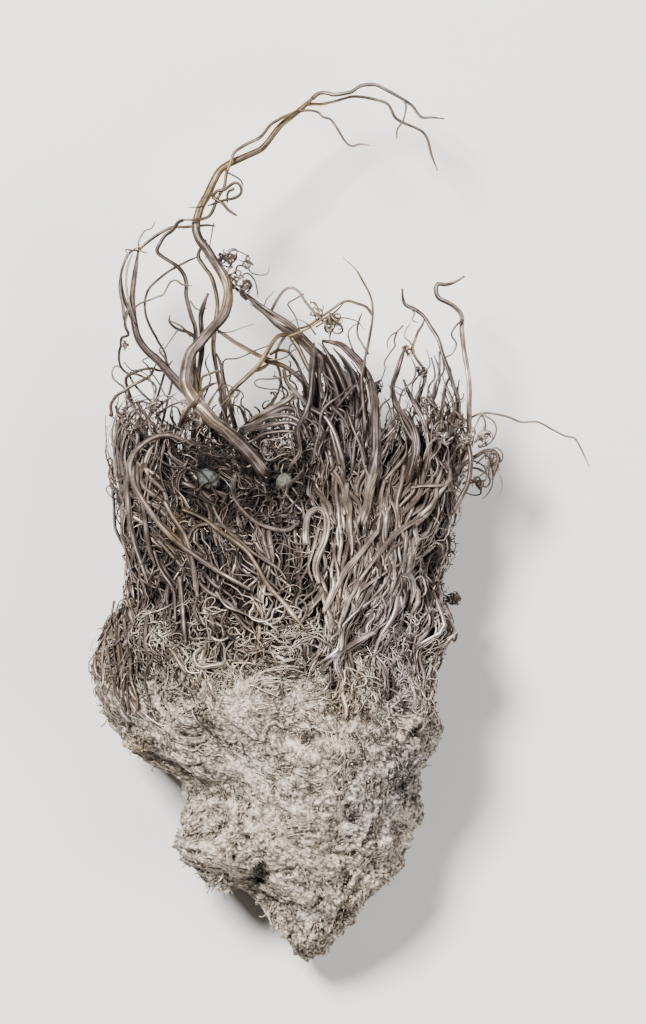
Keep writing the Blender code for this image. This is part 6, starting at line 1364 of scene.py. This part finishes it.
# Felt: wisps of the finest silver pressed on the core, combed in swirls by a wide noise
def feltPatch(name, count, yRange, radius, length, light, inset, rings=9, strands=4, stray=0.5):
    bundles = count // strands
    turn = frontTurns(bundles)
    y = rng.uniform(*yRange, bundles)
    swirl = 3.0 * softNoise(sheathSurface(y, turn, 0.0 * y), 9.0)
    heading = np.repeat(swirl + rng.normal(0.0, stray, bundles), strands) + rng.normal(0, 0.2, count)
    y = np.repeat(y, strands) + rng.normal(0.0, 0.5, count)
    turn = np.repeat(turn, strands) + rng.normal(0.0, 0.02, count)
    lengths = perBundle(*length, count, strands)[:, 0] * rng.uniform(0.7, 1.0, count)
    bends = [((0.2, 1.2), (3.0, 8.0)), ((0.1, 0.8), (1.2, 3.0))]
    insets = perBundle(*inset, count, strands)[:, 0]
    centres = skinWires(count, rings, y, turn, heading, lengths, bends, insets, 0.12, strands, 0.14)
    girth = rng.uniform(*radius, count)[:, None] * np.ones((1, rings))
    tone = wireTone(centres)
    tone[..., 0] += perBundle(*light, count, strands) - 0.36 + rng.uniform(-0.12, 0.12, (count, 1))
    addPiece(name, tubes(onTable(centres, 1.2 * girth), girth, 3, tone, ribDepth=0.0), feltSilver)


# Count, stretch along Y, girth, length, light, inset, rings, strands and stray. The felt ends
# before the very tip of the foot, where a ring is a few millimetres round.
feltPatch("feltFoot", 700, (-25.6, -16.0), (0.04, 0.07), (0.7, 1.6), (0.4, 0.9), (-0.5, 0.05), 5, 1, 3.0)
feltPatch("feltLower", 1500, (-15.0, -7.0), (0.045, 0.08), (1.2, 3.4), (0.4, 0.95), (-0.4, 0.1), 6, 2, 1.2)
feltPatch("feltUpper", 2100, (-9.0, 1.0), (0.045, 0.085), (2.0, 5.0), (0.35, 0.95), (-0.3, 0.2), 8)
feltPatch("feltWhorls", 500, (-25.0, -8.0), (0.07, 0.11), (1.2, 3.2), (0.6, 1.1), (-0.3, 0.15), 9, 2, 3.0)
feltPatch("feltBorder", 1200, (-2.0, 8.0), (0.05, 0.10), (2.0, 6.0), (0.4, 0.95), (-0.6, 0.2), 9, 3)

# Streaks of silver combed one way and pressed into the felt: girth and (x, y) route
streaks = [
    (0.5, [(-6.4, -1.6), (-4.8, -2.8), (-3, -4.4)]),
    (0.45, [(-12.4, -3.4), (-11, -4.5), (-9.4, -4.7), (-7.8, -4.2)]),
    (0.4, [(-13.4, 1.2), (-13, -1), (-11.6, -2.8)]), (0.35, [(-12, -1), (-10.6, -2.6), (-8.8, -3.2)]),
    (0.4, [(6, -19.5), (7.1, -17.4), (8.2, -16.2)]), (0.3, [(-6.1, -15.6), (-5.8, -17.6), (-6.1, -19.2)]),
    (0.3, [(11.5, -9.4), (11.6, -10.6), (11.4, -12)]),
    (0.3, [(-2.7, -4.6), (-2.4, -3.4), (-1.4, -2.8), (-0.6, -3.4)]),
    (0.35, [(-8.6, 0.6), (-7.6, -1.2), (-6.8, -3.2)]), (0.3, [(2.6, -11), (3.8, -10), (5.2, -9.8)]),
    (0.35, [(-11.8, -6), (-10, -6.9), (-8.2, -6.6)]),
]
shape = joined([wireShape(laidRoute(route, 0.25), (girth, 0.6 * girth), bright, 6)
                for girth, route in streaks])
shape["tone"][:, 0] += 0.18
addPiece("feltStreaks", shape, feltSilver)


# Curls that stand out from the two edges of the felt and the tangle
def edgeCurls(count, yRange, length, radius, rings=10):
    turn = np.where(rng.random(count) < 0.55, 0.0, math.pi) + rng.normal(0.0, 0.3, count)
    starts = sheathSurface(rng.uniform(*yRange, count), turn, -0.3 + 0.0 * turn)
    headings = np.stack([np.cos(turn), rng.normal(0.0, 0.8, count), rng.normal(0.0, 0.5, count)], axis=-1)
    centres = openWires(starts, headings, rng.uniform(*length, count), rings, [((0.5, 1.6), (0.8, 2.2))], 2.6)
    girth = rng.uniform(*radius, (count, 1)) * np.linspace(1.2, 0.7, rings)
    tone = wireTone(centres, lighter=rng.uniform(-0.1, 0.4, (count, 1)))
    return tubes(onTable(centres, girth), girth, 3, tone, ribDepth=0.0, phase=0.0)


addPiece("edgeCurls", edgeCurls(520, (-25.0, 22.0), (0.4, 1.6), (0.06, 0.11)), feltSilver)


# Crumbs of rock and matted silver on the felt: eight-sided grains, each turned and stretched anew
def crumbs(count, yRange, size, turns=None, light=(0.35, 1.0)):
    corners = np.array([(1, 0, 0), (-1, 0, 0), (0, 1, 0), (0, -1, 0), (0, 0, 1), (0, 0, -1)], float)
    faces = np.array([(0, 2, 4), (2, 1, 4), (1, 3, 4), (3, 0, 4), (2, 0, 5), (1, 2, 5), (3, 1, 5), (0, 3, 5)])
    turn = frontTurns(count) if turns is None else rng.uniform(*turns, count)
    places = sheathSurface(rng.uniform(*yRange, count), turn, rng.uniform(-0.45, 0.25, count))
    turned = np.linalg.qr(rng.normal(size=(count, 3, 3)))[0]
    turned = turned * np.sign(np.linalg.det(turned))[:, None, None]
    stretched = corners * rng.uniform(0.6, 1.3, (count, 6, 1)) * rng.uniform(*size, (count, 1, 1))
    points = onTable(places[:, None] + np.einsum("cij,ckj->cki", turned, stretched), 0.0)
    light = rng.uniform(*light, (count, 1)) + spotsAt(points, toneAndShadeSpots)
    tone = np.stack([light, spotsAt(points, tintSpots), 0.0 * light], axis=-1)
    shape = faced(points, tone, (faces[None] + 6 * np.arange(count)[:, None, None]).reshape(-1, 3))
    return dict(shape, grain=shape["points"])


# The spur below the knob: a tapering rod of felt, crumbled like the core, with curls stood on it
def spurShape(radii, route, around=72, curlCount=160, curlRings=7):
    centre = smoothRoute(route, 0.12)
    share = np.linspace(0.0, 1.0, len(centre))
    girth = (radii[0] + (radii[1] - radii[0]) * share) * np.sqrt(np.clip((1.02 - share) / 0.25, 0.02, 1.0))
    turn = np.linspace(0.0, 2 * math.pi, around, endpoint=False)
    side, other = carriedFrames(centre[None])
    ray = directionAt(turn, side[0][:, None], other[0][:, None])
    skin = centre[:, None] + girth[:, None, None] * ray
    crumb = sum(height * billow(skin, size) for size, height in lump["crumb"])
    skin = skin + crumb[..., None] * ray
    # Painted highlight on the raised crumbs and painted shade in their hollows
    light = 0.6 + 0.4 * crumb
    tone = np.stack([light, 0.0 * light, 0.6 * smoothStep(-crumb, 0.1, 0.4)], axis=-1)
    index = np.arange(len(skin) * around).reshape(-1, around)
    body = faced(skin, tone, ringFaces(index), np.stack([index[0, ::-1], index[-1]]))
    body["grain"] = body["points"]
    picked = rng.integers(0, index.size, curlCount)
    outward = ray.reshape(-1, 3)[picked]
    headings = np.cross(outward, rng.normal(size=outward.shape)) + 0.15 * outward
    curls = openWires(body["points"][picked], headings, rng.uniform(0.6, 1.4, curlCount), curlRings,
                      [((0.3, 1.2), (1.0, 2.5))], 0.5)
    curlTone = wireTone(curls, lighter=rng.uniform(-0.05, 0.45, (curlCount, 1)))
    girth = np.full((curlCount, curlRings), 0.06)
    return joined([body, tubes(curls, girth, 3, curlTone, ribDepth=0.0, phase=0.0)])


spurRoute = [(-9.0, -13.6, 13.0), (-8.2, -16.6, 12.6), (-7.2, -18.4, 11.8), (-6.5, -20.2, 11.2)]
addPiece("feltSpur", spurShape((1.9, 0.9), spurRoute), feltSilver)
addPiece("feltCrumbs", crumbs(4500, (-26.4, -4.0), (0.07, 0.22)), feltSilver)
addPiece("brightFlecks", crumbs(800, (-20.0, 6.0), (0.06, 0.14), (-0.2, 1.3), (0.8, 1.2)), wireSilver)
print("felt made")


# Points spread evenly over a ball, each a golden angle on from the last
def ballPoints(count):
    rank = np.arange(count) + 0.5
    polar = np.arccos(1 - 2 * rank / count)
    turn = math.pi * (1 + 5**0.5) * rank
    return np.stack([np.sin(polar) * np.cos(turn), np.sin(polar) * np.sin(turn), np.cos(polar)], axis=-1)


# A rough ball on a grid of polar angle and turn, pushed out by noise
def roughBall(centre, halfSizes, bump, grain, rows=48, squareness=1.0):
    polar = np.linspace(0.0, math.pi, rows + 2)[1:-1, None]
    turn = np.linspace(0.0, 2 * math.pi, rows * 2, endpoint=False)[None, :]
    ray = np.broadcast_arrays(np.sin(polar) * np.cos(turn), np.sin(polar) * np.sin(turn), np.cos(polar))
    ray = np.stack(ray, axis=-1)
    ray = np.sign(ray) * np.abs(ray) ** squareness
    points = np.array(centre) + ray * np.array(halfSizes)
    swell = bump * softNoise(points, grain) + 0.5 * bump * softNoise(points, grain / 2.3)
    points = points + ray * swell[..., None]
    light = 0.5 + 0.35 * swell / bump
    index = np.arange(swell.size).reshape(swell.shape)
    return faced(points, np.stack([light, 0.0 * light, 0.0 * light], axis=-1), flippedFaces(index),
                 np.stack([index[0], index[-1, ::-1]]))


# Pale grains of rock caught in the wires: matt, granular, off-white to grey
def grainMaterial(name, light, dark):
    material, add = newMaterial(name)
    grit = add("TexNoise", add("TexCoord", out="Object"), Scale=1 / (0.22 * mm), Detail=3.0, Roughness=0.7)
    return finished(material, Base_Color=fillRamp(add("ValToRGB", grit), [(0.3, dark), (0.7, light)]),
                    Roughness=0.6, Normal=add("Bump", Strength=0.8, Distance=0.08 * mm, Height=grit))


addPiece("paleBeadGranules", roughBall((-0.5, 20.8, 20.6), (0.82, 0.82, 0.82), 0.07, 0.17),
         grainMaterial("paleCalciteGranules", "#59564e", "#2a2822"), ["pale_bead"])
addPiece("greyCrystalBlock", roughBall((-8.0, 21.0, 19.0), (1.05, 0.85, 0.75), 0.2, 0.8, squareness=0.6),
         grainMaterial("greyMatrixRock", "#363630", "#171715"), ["grey_crystal"])

# A knot of fine curls drawn in to a ball, on a few short stalks
knot = dict(centre=(16.4, 9.1, 12.6), curls=60, rings=14, length=1.5, reach=(0.45, 0.75), radius=0.07,
            stalkEnd=(16.2, 9.1, 12.6))
away = ballPoints(knot["curls"])
centre = np.array(knot["centre"])
curls = openWires(centre + 0.5 * away, np.roll(away, 1, axis=1) - 0.5 * away,
                  np.full(knot["curls"], knot["length"]), knot["rings"], [((0.3, 1.0), (0.8, 2.0))], 1.0)
reach = np.linalg.norm(curls - centre, axis=-1, keepdims=True)
within = np.minimum(reach, rng.uniform(*knot["reach"], (knot["curls"], 1, 1)))
curls = centre + (curls - centre) * within / reach
stalkRoutes = [[(14.6, 8.2 + 0.5 * step, 12.2 + 0.3 * step), (15.4, 8.6 + 0.3 * step, 12.5),
                knot["stalkEnd"]] for step in range(4)]
girth = np.full(curls.shape[:2], knot["radius"])
shape = tubes(curls, girth, 4, wireTone(curls), ribDepth=0.2, wind=0.0, phase=0.0)
shape = joined([shape] + [wireShape(route, (0.12, 0.08), dull) for route in stalkRoutes])
addPiece("knotOfWire", shape, nodes=["wire_knot"])
print("grains made;", sum(pieceFaces.values()), "triangles in", len(pieceFaces), "pieces,",
      "largest", max(pieceFaces.items(), key=lambda item: item[1]))

# Stage: a plain pale floor, soft light from the upper left, camera straight above as in the photo
stage = dict(
    floorSize=4000.0, floorColour="#cfccc7", floorRoughness=0.8,
    camera=(3.3, 17.8, 633.0), lens=218.0, sensor=36.0,
    aim=(0.0, 12.0, 12.0),                                  # where both lights point
    key=((-190.0, 230.0, 540.0), 130.0, 14.0),              # place, size and power
    fill=((330.0, -60.0, 420.0), 260.0, 3.5),
    world=("#c9ccd2", 0.13),
)


# An object of the stage, placed in mm
def linked(name, data, place=(0.0, 0.0, 0.0)):
    thing = bpy.data.objects.new(name, data)
    thing.location = Vector(place) * mm
    bpy.context.collection.objects.link(thing)
    return thing


half = stage["floorSize"] / 2 * mm
floorMesh = bpy.data.meshes.new("floor")
floorCorners = [(-half, -half, 0), (half, -half, 0), (half, half, 0), (-half, half, 0)]
floorMesh.from_pydata(floorCorners, [], [(0, 1, 2, 3)])
floorMesh.materials.append(finished(newMaterial("paleMattPaper")[0], Base_Color=linear(stage["floorColour"]),
                                    Roughness=stage["floorRoughness"]))
floor = linked("floor", floorMesh)

for name in ("key", "fill"):
    place, size, power = stage[name]
    light = bpy.data.lights.new(name, "AREA")
    light.shape = "SQUARE"
    light.size = size * mm
    light.energy = power
    lamp = linked(name, light, place)
    lamp.rotation_euler = (Vector(stage["aim"]) * mm - lamp.location).to_track_quat("-Z", "Y").to_euler()

world = bpy.data.worlds.new("studio")
world.use_nodes = True
colour, strength = stage["world"]
fillInputs(world.node_tree.nodes["Background"], linear(colour), strength)
bpy.context.scene.world = world

cameraData = bpy.data.cameras.new("camera")
cameraData.lens = stage["lens"]
cameraData.sensor_width = stage["sensor"]
cameraData.clip_end = 10.0
bpy.context.scene.camera = linked("camera", cameraData, stage["camera"])
